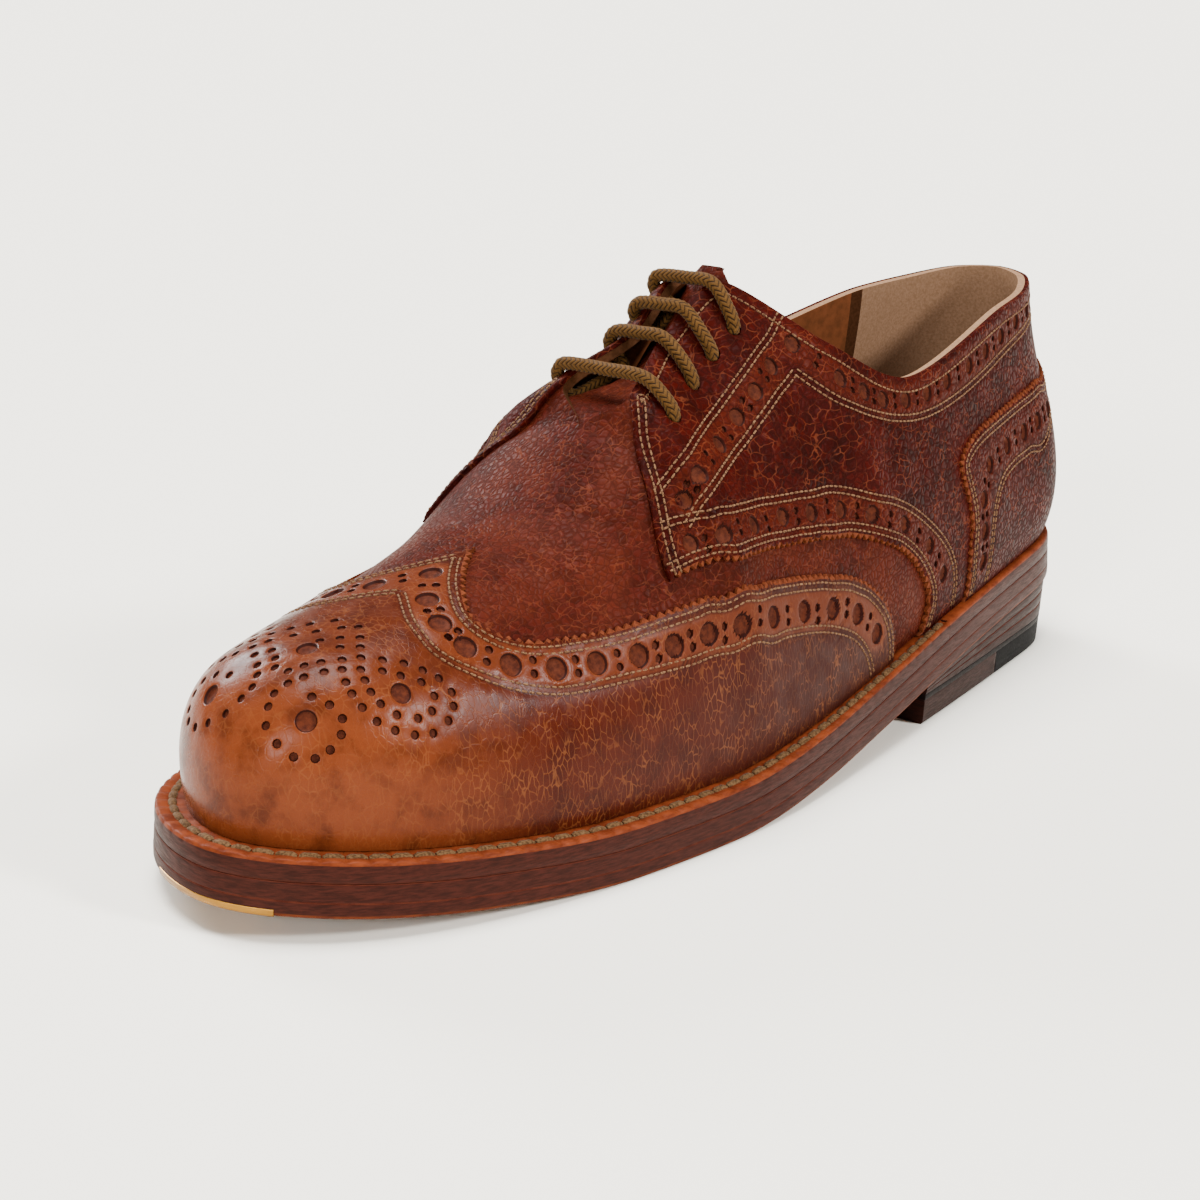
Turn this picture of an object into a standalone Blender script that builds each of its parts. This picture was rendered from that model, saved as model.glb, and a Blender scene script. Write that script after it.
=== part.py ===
# Full brogue derby shoe, left foot: welted leather sole, stacked heel, wing cap, open quarters.
# The shoe stands on its sole with the toe towards -X, its outer side towards -Y and +Z up.
# Sizes are in millimetres; the meshes are scaled to metres when they are made.
import math

import bpy
import bmesh
import numpy as np
from mathutils import Vector
from mathutils.geometry import delaunay_2d_cdt

MM = 0.001
GAP = 0.3                      # air left between two pieces that touch

# Sole and heel
SHOE_LENGTH = 300.0            # outsole, heel back to toe tip
CENTRE_STATION = 149.76        # station that lies on the origin
CENTRE_Y = 3.47                # swing of the outline to the inner side of the foot
TOE_TIP_Y = 1.7
OUTSOLE_THICK = 3.3
MIDSOLE_THICK = 3.6
WELT_THICK = 4.6
SOLE_THICK = OUTSOLE_THICK + MIDSOLE_THICK + WELT_THICK + 2 * GAP
MIDSOLE_INSET = 0.5
WELT_INSET = 1.0
WELT_UNDER = 3.2               # how far the welt reaches in under the upper
WELT_END = 0.305               # share of the half edge where the welt stops at the heel
INSOLE_PROUD = 1.8
HEEL_BREAST = 97.0
HEEL_INSET_TOP = 0.6
HEEL_INSET_FOOT = 1.6
TOP_PIECE_THICK = 6.4
RUBBER_CUT = ((-6.0, 22.0), (66.0, -46.0))    # line across the top piece, station and y
TOE_PLATE_THICK = 1.5
TOE_PLATE_FROM = 0.95
TOE_PLATE_REACH = 13.0

# Leathers
UPPER_SKIN = -0.6              # outer face of the upper against the last's own surface
UPPER_WALL = 1.8
OVERLAY_BASE = -0.1
OVERLAY_TOP = 0.8
COUNTER_BASE = 1.15
COUNTER_TOP = 2.1
TONGUE_THICK = 2.0
LACE_RADIUS = 1.6
LACE_OVER = 3.35               # cord's middle above the last where it crosses the facing edge
LACE_UNDER = -5.1
LACE_ARCH = -0.4
EYELET_RADIUS = 2.6

# Edge of the sole in plan
PLAN_COLUMNS = ("station", "outer_half", "inner_half")
PLAN = (
    (10.0, 21.9, 21.9),
    (35.0, 30.2, 30.2),
    (85.0, 38.0, 29.5),
    (130.0, 44.1, 31.0),
    (170.0, 48.6, 44.5),
    (205.0, 47.4, 54.6),
    (240.0, 41.9, 53.6),
    (270.0, 31.8, 42.6),
    (290.0, 18.0, 27.6),
)

# Height of the outsole's lower face: heel pitch, arch, tread and toe spring
SPRING_COLUMNS = ("station", "height")
SPRING = (
    (0.0, 19.8),
    (80.0, 12.8),
    (115.0, 7.7),
    (155.0, 2.6),
    (190.0, 0.0),
    (220.0, 0.0),
    (255.0, 2.3),
    (300.0, 6.5),
)

TREAD_FLAT = (190.0, 220.0)    # stations between which the forefoot rests flat

# Distance of the feather line in from the sole's edge, by share of the half edge
FEATHER_COLUMNS = ("share", "inset")
FEATHER = (
    (0.0, 4.2),
    (0.25, 3.8),
    (0.40, 4.6),
    (0.60, 6.5),
    (0.85, 7.5),
    (1.0, 8.0),
)

# Sections of the last. Each stands on the feather line at a share of the half edge and ends on the
# top line: the collar and facing edge behind the throat, the ridge of the vamp in front of it.
SECTION_COLUMNS = (
    "share", "top_station", "top_outer", "top_inner", "top_height", "heading",
    "lean_outer", "lean_inner", "low_handle", "arrive", "high_outer", "high_inner",
)
SECTIONS = {
    "heel back":     (0.000, 8.7, 0.0, 0.0, 99.0, -90, 23, 23, 22, 96, 26, 26),
    "heel round":    (0.050, 12.2, 9.6, 10.4, 98.4, -70, 23, 23, 22, 92, 24, 25),
    "heel quarter":  (0.100, 22.6, 16.2, 18.0, 96.6, -48, 23, 22, 22, 87, 22, 24),
    "collar back":   (0.170, 43.0, 21.5, 22.0, 95.0, -15, 18, 16, 19, 88, 22, 22),
    "collar low":    (0.270, 96.0, 28.0, 29.0, 86.0, 0, 12, 8, 20, 78, 22, 22),
    "collar front":  (0.360, 125.0, 22.0, 20.0, 97.5, 10, 10, 4, 24, 60, 25, 27),
    "facing top":    (0.420, 145.5, 5.5, 6.0, 112.0, 10, 8, 2, 27, 44, 30, 34),
    "facing":        (0.490, 162.0, 3.5, 4.5, 102.0, 5, 8, 4, 26, 36, 32, 36),
    "throat corner": (0.560, 180.5, 8.5, 10.5, 91.5, 0, 8, 8, 24, 24, 33, 37),
    "throat":        (0.600, 188.5, 0.0, 0.0, 84.0, 0, 8, 8, 22, 0, 38, 43),
    "ball":          (0.680, 212.0, 0.0, 0.0, 66.5, 0, 8, 10, 17, 0, 34, 40),
    "joint":         (0.790, 241.0, 0.0, 0.0, 59.0, 0, 8, 10, 17, 0, 26, 32),
    "toe shoulder":  (0.880, 266.0, 0.0, 0.0, 53.5, 25, 8, 14, 17, 3, 22, 30),
    "toe tip":       (1.000, 266.0, 0.0, 0.0, 53.5, 90, 8, 8, 16, 8, 22, 22),
}
THROAT_SHARE = SECTIONS["throat"][0]
CORNER_SHARE = SECTIONS["throat corner"][0]
FACING_SHARE = SECTIONS["facing top"][0]
BLUR = 0.02                    # share over which the handles change from one section to the next

# Edges of the overlays on one side of the shoe: share of the half edge and share up the section
EDGE_COLUMNS = ("share", "up")
HEM = 0.03
QUARTER_CORNER = 0.5545        # share where a quarter's front edge meets its facing edge
QUARTER_SEAM = 0.0008          # half of the gap between the quarters at the back seam
WING_EDGE = (
    (0.382, HEM), (0.388, 0.15), (0.405, 0.235), (0.426, 0.285), (0.449, 0.325), (0.475, 0.365),
    (0.524, 0.424), (0.579, 0.462), (0.617, 0.495), (0.649, 0.534), (0.681, 0.569), (0.714, 0.602),
    (0.750, 0.640), (0.769, 0.700), (0.776, 0.790), (0.770, 0.860), (0.757, 0.920), (0.736, 0.975),
    (0.716, 1.0),
)
QUARTER_EDGE = (
    (0.336, HEM), (0.340, 0.180), (0.349, 0.263), (0.371, 0.325), (0.391, 0.348), (0.436, 0.383),
    (0.484, 0.443), (0.540, 0.504), (0.590, 0.530), (0.629, 0.574), (0.619, 0.697), (0.606, 0.785),
    (0.583, 0.900), (QUARTER_CORNER, 1.0),
)
COUNTER_EDGE = (
    (0.0, 0.660), (0.104, 0.660), (0.161, 0.660), (0.208, 0.655), (0.228, 0.630), (0.240, 0.575),
    (0.248, 0.490), (0.254, 0.380), (0.258, 0.200), (0.264, HEM),
)
EYELETS = ((0.545, 0.880), (0.500, 0.870), (0.465, 0.872), (0.432, 0.876))

# Tongue rows: share of the half edge, how deep its face lies under the last, how wide up the section
TONGUE_COLUMNS = ("share", "depth", "from_up")
TONGUE = (
    (0.645, 2.9, 0.90),
    (0.620, 3.6, 0.86),
    (0.595, 6.0, 0.84),
    (0.545, 7.8, 0.80),
    (0.510, 7.8, 0.77),
    (0.475, 7.8, 0.75),
    (0.440, 7.8, 0.76),
    (0.420, 7.6, 0.80),
)
TONGUE_RISE = 9.0              # how far the tongue stands above the facings

# Lattice of shares for the upper and for every form that is cut from it
LATTICE_ALONG = (
    0.0, 0.03, 0.06, 0.09, 0.12, 0.155, 0.19, 0.23, 0.27, 0.31, 0.35, 0.385, 0.42, 0.455, 0.49, 0.525,
    CORNER_SHARE, 0.573, 0.587, THROAT_SHARE, 0.6215, 0.645, 0.68, 0.72, 0.755, 0.79, 0.82,
    0.85, 0.88, 0.91, 0.94, 0.97, 1.0,
)
LATTICE_UP = (0.0, 0.10, 0.22, 0.35, 0.48, 0.60, 0.71, 0.81, 0.90, 0.96, 1.0)

# Colours (linear), roughness, metallic
FINISH = {
    "upper_leather": ((0.120, 0.026, 0.012), 0.42, 0.0),
    "cap_leather": ((0.240, 0.065, 0.018), 0.36, 0.0),
    "tongue_leather": ((0.110, 0.030, 0.014), 0.50, 0.0),
    "lining_leather": ((0.400, 0.240, 0.120), 0.60, 0.0),
    "insole_leather": ((0.360, 0.220, 0.110), 0.62, 0.0),
    "welt_leather": ((0.230, 0.090, 0.035), 0.48, 0.0),
    "sole_leather": ((0.075, 0.028, 0.020), 0.40, 0.0),
    "heel_rubber": ((0.018, 0.018, 0.020), 0.65, 0.0),
    "toe_plate_brass": ((0.550, 0.340, 0.100), 0.28, 1.0),
    "lace_cord": ((0.100, 0.062, 0.022), 0.70, 0.0),
}

UP = np.array((0.0, 0.0, 1.0))


def rows(table, columns, name):
    """One named column of a table."""
    return np.array([row[columns.index(name)] for row in table], float)


def smooth(x, y, at):
    """Monotone cubic curve through the points x, y, read at the given places."""
    x, y, at = np.asarray(x, float), np.asarray(y, float), np.asarray(at, float)
    step = np.diff(x)
    grade = np.diff(y) / step
    slope = np.zeros_like(y)
    for i in range(1, len(x) - 1):
        if grade[i - 1] * grade[i] > 0:
            before, after = 2 * step[i] + step[i - 1], step[i] + 2 * step[i - 1]
            slope[i] = (before + after) / (before / grade[i - 1] + after / grade[i])
    slope[0], slope[-1] = grade[0], grade[-1]
    i = np.clip(np.searchsorted(x, at) - 1, 0, len(step) - 1)
    s = np.clip((at - x[i]) / step[i], 0, 1)
    value = (1 + 2 * s) * (1 - s) ** 2 * y[i] + s * s * (3 - 2 * s) * y[i + 1]
    return value + step[i] * (s * (1 - s) ** 2 * slope[i] + s * s * (s - 1) * slope[i + 1])


def ring_spline(points, count):
    """Closed curve with even curvature through the points, read at even steps of its length."""
    p = np.asarray(points, float)
    k = len(p)
    step = np.sqrt(np.linalg.norm(np.roll(p, -1, 0) - p, axis=1))
    t = np.r_[0, np.cumsum(step)]
    matrix, right = np.zeros((k, k)), np.zeros((k, 2))
    for i in range(k):
        a, b, nxt = step[i - 1], step[i], (i + 1) % k
        matrix[i, i - 1] += a
        matrix[i, i] += 2 * (a + b)
        matrix[i, nxt] += b
        right[i] = 6 * ((p[nxt] - p[i]) / b - (p[i] - p[i - 1]) / a)
    bend = np.linalg.solve(matrix, right)

    def read(s):
        i = np.clip(np.searchsorted(t, s, side="right") - 1, 0, k - 1)
        j = (i + 1) % k
        h = step[i][:, None]
        u, v = (t[i + 1] - s)[:, None], (s - t[i])[:, None]
        ends = (p[i] / h - bend[i] * h / 6) * u + (p[j] / h - bend[j] * h / 6) * v
        return (bend[i] * u ** 3 + bend[j] * v ** 3) / (6 * h) + ends

    fine = np.linspace(0, t[-1], 6 * count + 1)
    dense = read(fine)
    length = np.r_[0, np.cumsum(np.linalg.norm(np.diff(dense, axis=0), axis=1))]
    return read(np.interp(np.linspace(0, length[-1], count, endpoint=False), length, fine))


def tread(station):
    """Height of the outsole's lower face."""
    at, height = rows(SPRING, SPRING_COLUMNS, "station"), rows(SPRING, SPRING_COLUMNS, "height")
    return smooth(at, height, station)


def sole_halves():
    """Outer and inner halves of the sole's edge, each from the heel back to the toe tip."""
    outer = [(row[0], -row[1]) for row in PLAN]
    inner = [(row[0], row[2]) for row in reversed(PLAN)]
    edge = ring_spline([(0.0, 0.0)] + outer + [(SHOE_LENGTH, TOE_TIP_Y)] + inner, 1800)
    tip = edge[:, 0].argmax()
    return {-1: edge[:tip + 1], 1: np.vstack((edge[:1], edge[tip:][::-1]))}


HALF = sole_halves()
FINE = np.linspace(0.0, 1.0, 601)


def edge_line(side, share, inset):
    """Points in plan along one half of the edge, moved in from it, with the outward direction."""
    line = HALF[side]
    length = np.r_[0, np.cumsum(np.linalg.norm(np.diff(line, axis=0), axis=1))]

    def at(s):
        s = np.clip(s, 0, 1) * length[-1]
        return np.stack([np.interp(s, length, line[:, i]) for i in range(2)], axis=-1)

    share = np.asarray(share, float)
    along = at(share + 0.006) - at(share - 0.006)
    along[share <= 0.0] = (0.0, side)
    along[share >= 1.0] = (0.0, -side)
    along /= np.linalg.norm(along, axis=-1, keepdims=True)
    out = np.stack((-along[..., 1], along[..., 0]), axis=-1) * side
    return at(share) - out * np.asarray(inset, float)[..., None], out


def half_width(side, inset, station):
    """Distance of the moved-in edge from the shoe's middle line at a station."""
    line, _ = edge_line(side, FINE, np.full_like(FINE, inset))
    order = np.maximum.accumulate(line[:, 0])
    return np.interp(station, order, line[:, 1])


def feather_table(side):
    """Feather line of one side with its outward direction, at fine steps."""
    share, inset = rows(FEATHER, FEATHER_COLUMNS, "share"), rows(FEATHER, FEATHER_COLUMNS, "inset")
    inset = smooth(share, inset, FINE)
    plan, out = edge_line(side, FINE, inset)
    height = tread(plan[:, 0]) + SOLE_THICK + GAP
    return np.c_[plan, height], np.c_[out, 0 * height]


FOOT = {side: feather_table(side) for side in (-1, 1)}


def side_sections(side):
    """The section table of one side, carried on round the heel and the toe into the other side."""
    mine, other = ("outer", "inner") if side < 0 else ("inner", "outer")
    body = [dict(zip(SECTION_COLUMNS, row)) for row in SECTIONS.values()]
    shared = ("share", "top_station", "top_height", "heading", "low_handle", "arrive")
    made = []
    for row in body:
        for place in ("heel", "body", "toe"):
            face = mine if place == "body" else other
            new = {k: row[k] for k in shared}
            new.update({k: row[k + "_" + face] for k in ("top", "lean", "high")})
            if place == "heel":
                new.update(share=-row["share"], top=-new["top"], heading=-180 - row["heading"])
            if place == "toe":
                new.update(share=2 - row["share"], top=-new["top"], heading=180 - row["heading"])
            if place == "body" or -0.3 < new["share"] < 0 or 1 < new["share"] < 1.3:
                made.append(new)
    made.sort(key=lambda new: new["share"])
    return {name: np.array([new[name] for new in made], float) for name in made[0]}


LAST = {side: side_sections(side) for side in (-1, 1)}


def column(side, name, share):
    """A column of the section table read at any share; handles are blurred between sections."""
    table = LAST[side]
    if name.startswith("top"):
        return smooth(table["share"], table[name], share)
    shifts = [np.asarray(share) + BLUR * k for k in (-1, -0.5, 0, 0.5, 1)]
    return sum(smooth(table["share"], table[name], at) for at in shifts) / len(shifts)


def pick(table, share):
    return np.stack([np.interp(share, FINE, table[:, i]) for i in range(3)], axis=-1)


def section(side, share, up):
    """Points on the last: side -1 outer or 1 inner, share along the half edge, share up the section."""
    share, up = np.asarray(share, float), np.asarray(up, float)[..., None]
    foot, out = pick(FOOT[side][0], share), pick(FOOT[side][1], share)
    top = np.stack((column(side, "top_station", share), side * column(side, "top", share),
                    column(side, "top_height", share)), axis=-1)
    turn = np.radians(column(side, "heading", share))
    way = np.stack((np.sin(turn), side * np.cos(turn), 0 * turn), axis=-1)
    drop = np.radians(column(side, "arrive", share))[..., None]
    lean = np.radians(column(side, "lean", share))[..., None]
    low = foot + column(side, "low_handle", share)[..., None] * (np.cos(lean) * UP + np.sin(lean) * out)
    high = top + column(side, "high", share)[..., None] * (np.cos(drop) * way - np.sin(drop) * UP)
    rest = 1 - up
    return rest ** 3 * foot + 3 * up * rest ** 2 * low + 3 * up * up * rest * high + up ** 3 * top


def facing_out(side, share, up):
    """Unit direction out of the last's surface."""
    step = 0.004
    up = np.minimum(np.asarray(up, float), 0.965)
    share = np.asarray(share, float)
    ahead = section(side, np.clip(share + step, 0, 1), up) - section(side, np.clip(share - step, 0, 1), up)
    above = section(side, share, up + step) - section(side, share, np.maximum(up - step, 0))
    normal = np.cross(ahead, above) * -side
    return normal / np.linalg.norm(normal, axis=-1, keepdims=True)


def skin(side, share, up, lift):
    """Points at a distance from the last's surface; the two sides agree where they meet."""
    share, up = np.asarray(share, float), np.asarray(up, float)
    normal = facing_out(side, share, up)
    meets = (share <= 0) | (share >= 1) | ((up >= 1) & (share >= THROAT_SHARE))
    both = normal + facing_out(-side, share, up)
    both /= np.linalg.norm(both, axis=-1, keepdims=True)
    normal = np.where(meets[..., None], both, normal)
    return section(side, share, up) + normal * np.asarray(lift, float)[..., None]


def unroll(side, share, up):
    """The surface laid flat in plan: top line point plus girth in the section's heading."""
    share, up = np.asarray(share, float), np.asarray(up, float)
    path = [section(side, share, up + (1 - up) * k / 16) for k in range(17)]
    girth = sum(np.linalg.norm(b - a, axis=-1) for a, b in zip(path, path[1:]))
    girth = np.where(up > 1, -girth, girth)
    turn = np.radians(column(side, "heading", share))
    way = np.stack((np.sin(turn), side * np.cos(turn)), axis=-1)
    top = np.stack((column(side, "top_station", share), side * column(side, "top", share)), axis=-1)
    return top + way * girth[..., None]


def to_metres(points):
    """From station, y and height to the object's own frame."""
    p = np.asarray(points, float)
    return np.stack((CENTRE_STATION - p[..., 0], p[..., 1] - CENTRE_Y, p[..., 2]), axis=-1) * MM


def collection(name, hidden=False):
    made = bpy.data.collections.new(name)
    bpy.context.scene.collection.children.link(made)
    made.hide_render = hidden
    return made


def finish(name):
    colour, rough, metal = FINISH[name]
    material = bpy.data.materials.get(name)
    if material is None:
        material = bpy.data.materials.new(name)
        material.use_nodes = True
        shader = material.node_tree.nodes["Principled BSDF"]
        shader.inputs["Base Color"].default_value = (*colour, 1.0)
        shader.inputs["Roughness"].default_value = rough
        shader.inputs["Metallic"].default_value = metal
        material.diffuse_color = (*colour, 1.0)
    return material


def mesh_object(name, points, faces, home, slot=None):
    """A closed mesh object from points in the shoe's sizes; points that coincide are joined."""
    work = bmesh.new()
    corners = [work.verts.new(Vector(p)) for p in to_metres(points)]
    for face in faces:
        if len(set(face)) > 2:
            work.faces.new([corners[i] for i in face])
    bmesh.ops.remove_doubles(work, verts=work.verts, dist=2e-6)
    bmesh.ops.dissolve_degenerate(work, edges=work.edges, dist=2e-6)
    bmesh.ops.triangulate(work, faces=[f for f in work.faces if len(f.verts) > 4])
    bmesh.ops.recalc_face_normals(work, faces=work.faces)
    mesh = bpy.data.meshes.new(name)
    work.to_mesh(mesh)
    work.free()
    made = bpy.data.objects.new(name, mesh)
    home.objects.link(made)
    if slot:
        mesh.materials.append(finish(slot))
    return made


def boolean(target, cutter, kind):
    """Apply an exact boolean and keep the result as the target's mesh."""
    change = target.modifiers.new("cut", "BOOLEAN")
    change.operation = kind
    change.solver = "EXACT"
    change.object = cutter
    graph = bpy.context.evaluated_depsgraph_get()
    result = bpy.data.meshes.new_from_object(target.evaluated_get(graph))
    target.modifiers.remove(change)
    target.data = result
    work = bmesh.new()
    work.from_mesh(result)
    bmesh.ops.remove_doubles(work, verts=work.verts, dist=1e-6)
    bmesh.ops.dissolve_degenerate(work, edges=work.edges, dist=1e-6)
    loose = [e for e in work.edges if not e.link_faces]
    bmesh.ops.delete(work, geom=loose, context="EDGES")
    work.to_mesh(result)
    work.free()


def drop_scraps(target):
    """Keep the largest body of a mesh and remove the scraps that a cut leaves at a corner."""
    work = bmesh.new()
    work.from_mesh(target.data)
    left, bodies = set(work.verts), []
    while left:
        body, front = set(), [left.pop()]
        while front:
            corner = front.pop()
            body.add(corner)
            near = {edge.other_vert(corner) for edge in corner.link_edges} & left
            left -= near
            front.extend(near)
        bodies.append(body)
    bodies.sort(key=len)
    for body in bodies[:-1]:
        bmesh.ops.delete(work, geom=list(body), context="VERTS")
    work.to_mesh(target.data)
    work.free()


def loops_to_solid(loops):
    """Faces of a solid from closed loops of equal length, in order round the wall's section."""
    count, size = len(loops), len(loops[0])
    points = np.concatenate(loops)
    faces = []
    for k in range(count):
        nxt = (k + 1) % count
        for i in range(size - 1):
            faces.append((k * size + i, k * size + i + 1, nxt * size + i + 1, nxt * size + i))
    return points, faces, size


def plate(name, home, slot, span, inset_low, inset_high, low, high, steps):
    """A sole layer: straight across at each station, following the edge and the spring."""
    first, last = span
    share = 0.5 - 0.5 * np.cos(np.linspace(0, math.pi, steps))
    loops = []
    round_wall = ((-1, inset_low, low), (1, inset_low, low), (1, inset_high, high), (-1, inset_high, high))
    for side, inset, height in round_wall:
        start = first if first > 1 else inset
        stop = last if last < SHOE_LENGTH - 1 else SHOE_LENGTH - inset
        station = start + (stop - start) * share
        if first <= 1 and last >= SHOE_LENGTH - 1:
            station = np.sort(np.r_[station, TREAD_FLAT])
        across = half_width(side, inset, station)
        loops.append(np.c_[station, across, height(station)])
    points, faces, size = loops_to_solid(loops)
    faces.append([k * size for k in range(4)])
    faces.append([k * size + size - 1 for k in range(4)][::-1])
    return mesh_object(name, points, faces, home, slot)


def band(name, home, slot, path, outer_inset, inner_inset, low, high):
    """A strip that runs along the sole's edge; path is a list of side and share pairs."""
    def line(inset_of, height):
        points = []
        for side, share in path:
            at, _ = edge_line(side, np.array([share]), np.array([inset_of(share)]))
            points.append((at[0, 0], at[0, 1], height(at[0, 0])))
        return np.array(points)

    loops = [line(outer_inset, low), line(inner_inset, low), line(inner_inset, high), line(outer_inset, high)]
    points, faces, size = loops_to_solid(loops)
    faces.append([k * size for k in range(4)])
    faces.append([k * size + size - 1 for k in range(4)][::-1])
    return mesh_object(name, points, faces, home, slot)


def round_toe(first, count):
    """Side and share pairs from a share on the outer side, round the toe, to the inner side."""
    shares = np.linspace(first, 1.0, count)
    return [(-1, s) for s in shares] + [(1, s) for s in shares[::-1][1:]]


def round_heel(last, count):
    """Side and share pairs from a share on the outer side, round the heel, to the inner side."""
    shares = np.linspace(last, 0.0, count)
    return [(-1, s) for s in shares] + [(1, s) for s in shares[::-1][1:]]


def shell(name, home, slot, low, high, first=0.0, last=1.0, hem=0.0, sides=(-1, 1)):
    """A hollow form between two distances from the last, open below and along the top line."""
    along = np.array([first] + [s for s in LATTICE_ALONG if first < s < last] + [last])
    up = np.array((hem, *LATTICE_UP[1:]))
    count, top = len(along), len(up) - 1
    points, grid = [], {}
    for lift in (high, low):
        for j, v in enumerate(up):
            for side in sides:
                ring = skin(side, along, np.full_like(along, v), np.full_like(along, lift))
                grid.update({(lift, side, i, j): len(points) + i for i in range(count)})
                points.extend(ring)

    def quad(*corners):
        return [grid[corner] for corner in corners]

    faces = []
    for side in sides:
        for i in range(count - 1):
            for lift in (high, low):
                faces += [quad((lift, side, i, j), (lift, side, i + 1, j), (lift, side, i + 1, j + 1),
                               (lift, side, i, j + 1)) for j in range(top)]
            for j in (0, top):
                if j == 0 or len(sides) == 1 or along[i] < THROAT_SHARE:
                    faces.append(quad((high, side, i, j), (high, side, i + 1, j), (low, side, i + 1, j),
                                      (low, side, i, j)))
        for i, closed in ((0, first > 0), (count - 1, last < 1)):
            if closed:
                faces += [quad((high, side, i, j), (high, side, i, j + 1), (low, side, i, j + 1),
                               (low, side, i, j)) for j in range(top)]
    return mesh_object(name, points, faces, home, slot)


def fill_edge(edge, most):
    """Points along an edge with none further apart than a given distance on the last."""
    out = []
    for (side, a, b), (_, c, d) in zip(edge, edge[1:]):
        span = np.linalg.norm(section(side, [c], [d])[0] - section(side, [a], [b])[0])
        parts = max(1, int(math.ceil(span / most)))
        for k in range(parts):
            out.append((side, a + (c - a) * k / parts, b + (d - b) * k / parts))
    return out


def inside(points, loop):
    """Which plan points lie within a closed loop."""
    x, y = points[:, 0], points[:, 1]
    hit = np.zeros(len(points), bool)
    for (xa, ya), (xb, yb) in zip(loop, np.roll(loop, -1, 0)):
        cross = (ya > y) != (yb > y)
        with np.errstate(divide="ignore", invalid="ignore"):
            hit ^= cross & (x < (xb - xa) * (y - ya) / (yb - ya) + xa)
    return hit


def by_side(marks, work):
    """Apply a surface function to marks (side, share, up) of both sides."""
    marks = np.array(marks, float)
    out = {}
    for side in (-1, 1):
        mine = marks[:, 0] == side
        out[side] = mine, work(side, marks[mine, 1], marks[mine, 2])
    made = np.zeros((len(marks), out[-1][1].shape[1]))
    for mine, values in out.values():
        made[mine] = values
    return made


def punch(name, home, edge, low, high):
    """A cutter that stands on an outline drawn on the last, between two distances from it."""
    flat = by_side(edge, unroll)
    along, up = np.meshgrid(np.linspace(0.01, 0.99, 45), np.linspace(0.06, 0.98, 9))
    spare = np.array([(side, a, b) for side in (-1, 1) for a, b in zip(along.ravel(), up.ravel())])
    spot = by_side(spare, unroll)
    clear = np.linalg.norm(spot[:, None] - flat[None], axis=2).min(axis=1) > 4.0
    marks = np.vstack((edge, spare[inside(spot, flat) & clear]))
    plan = by_side(marks, unroll)
    rim = len(edge)
    ring = [(i, (i + 1) % rim) for i in range(rim)]
    found = delaunay_2d_cdt([Vector(p) for p in plan], ring, [], 0, 1e-6)
    spots = np.array([v[:] for v in found[0]])
    marks = marks[[origin[0] for origin in found[3]]]
    triangles = np.array(found[2])
    triangles = triangles[inside(spots[triangles].mean(axis=1), flat)]
    size = len(marks)
    levels = []
    for lift in (high, low):
        levels.append(by_side(marks, lambda side, a, b: skin(side, a, b, np.full_like(a, lift))))
    faces = [tuple(t) for t in triangles] + [tuple(t[::-1] + size) for t in triangles]
    times = {}
    for a, b, c in triangles:
        for pair in ((a, b), (b, c), (c, a)):
            pair = tuple(sorted(pair))
            times[pair] = times.get(pair, 0) + 1
    faces += [(a, b, b + size, a + size) for (a, b), count in times.items() if count == 1]
    made = mesh_object(name, np.concatenate(levels), faces, home)
    made.display_type = "WIRE"
    made.hide_render = True
    return made


def spline_path(points, parts):
    """A rounded path through the points."""
    p = np.asarray(points, float)
    p = np.vstack((2 * p[0] - p[1], p, 2 * p[-1] - p[-2]))
    out = []
    for i in range(1, len(p) - 2):
        a, b, c, d = p[i - 1:i + 3]
        for k in range(parts):
            t = k / parts
            out.append(0.5 * (2 * b + (c - a) * t + (2 * a - 5 * b + 4 * c - d) * t * t
                              + (3 * b - a - 3 * c + d) * t ** 3))
    out.append(p[-2])
    return np.array(out)


def tube(name, home, slot, points, radius):
    """A round cord along a path."""
    curve = bpy.data.curves.new(name, "CURVE")
    curve.dimensions = "3D"
    curve.bevel_depth = radius * MM
    curve.bevel_resolution = 2
    curve.use_fill_caps = True
    line = curve.splines.new("POLY")
    line.points.add(len(points) - 1)
    for point, place in zip(line.points, to_metres(points)):
        point.co = (*place, 1.0)
    made = bpy.data.objects.new(name, curve)
    home.objects.link(made)
    curve.materials.append(finish(slot))
    return made


def rod(name, home, start, stop, radius, sides=10):
    """A round cutter between two points."""
    a, b = Vector(to_metres(start)), Vector(to_metres(stop))
    work = bmesh.new()
    bmesh.ops.create_cone(work, cap_ends=True, segments=sides, radius1=radius * MM, radius2=radius * MM,
                          depth=(b - a).length)
    turn = (b - a).to_track_quat("Z", "Y").to_matrix().to_4x4()
    turn.translation = (a + b) / 2
    work.transform(turn)
    mesh = bpy.data.meshes.new(name)
    work.to_mesh(mesh)
    work.free()
    made = bpy.data.objects.new(name, mesh)
    made.display_type = "WIRE"
    made.hide_render = True
    home.objects.link(made)
    return made


def constant(value):
    return lambda station: np.zeros_like(np.asarray(station, float)) + value


def layer(offset):
    return lambda station: tread(station) + offset


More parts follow.
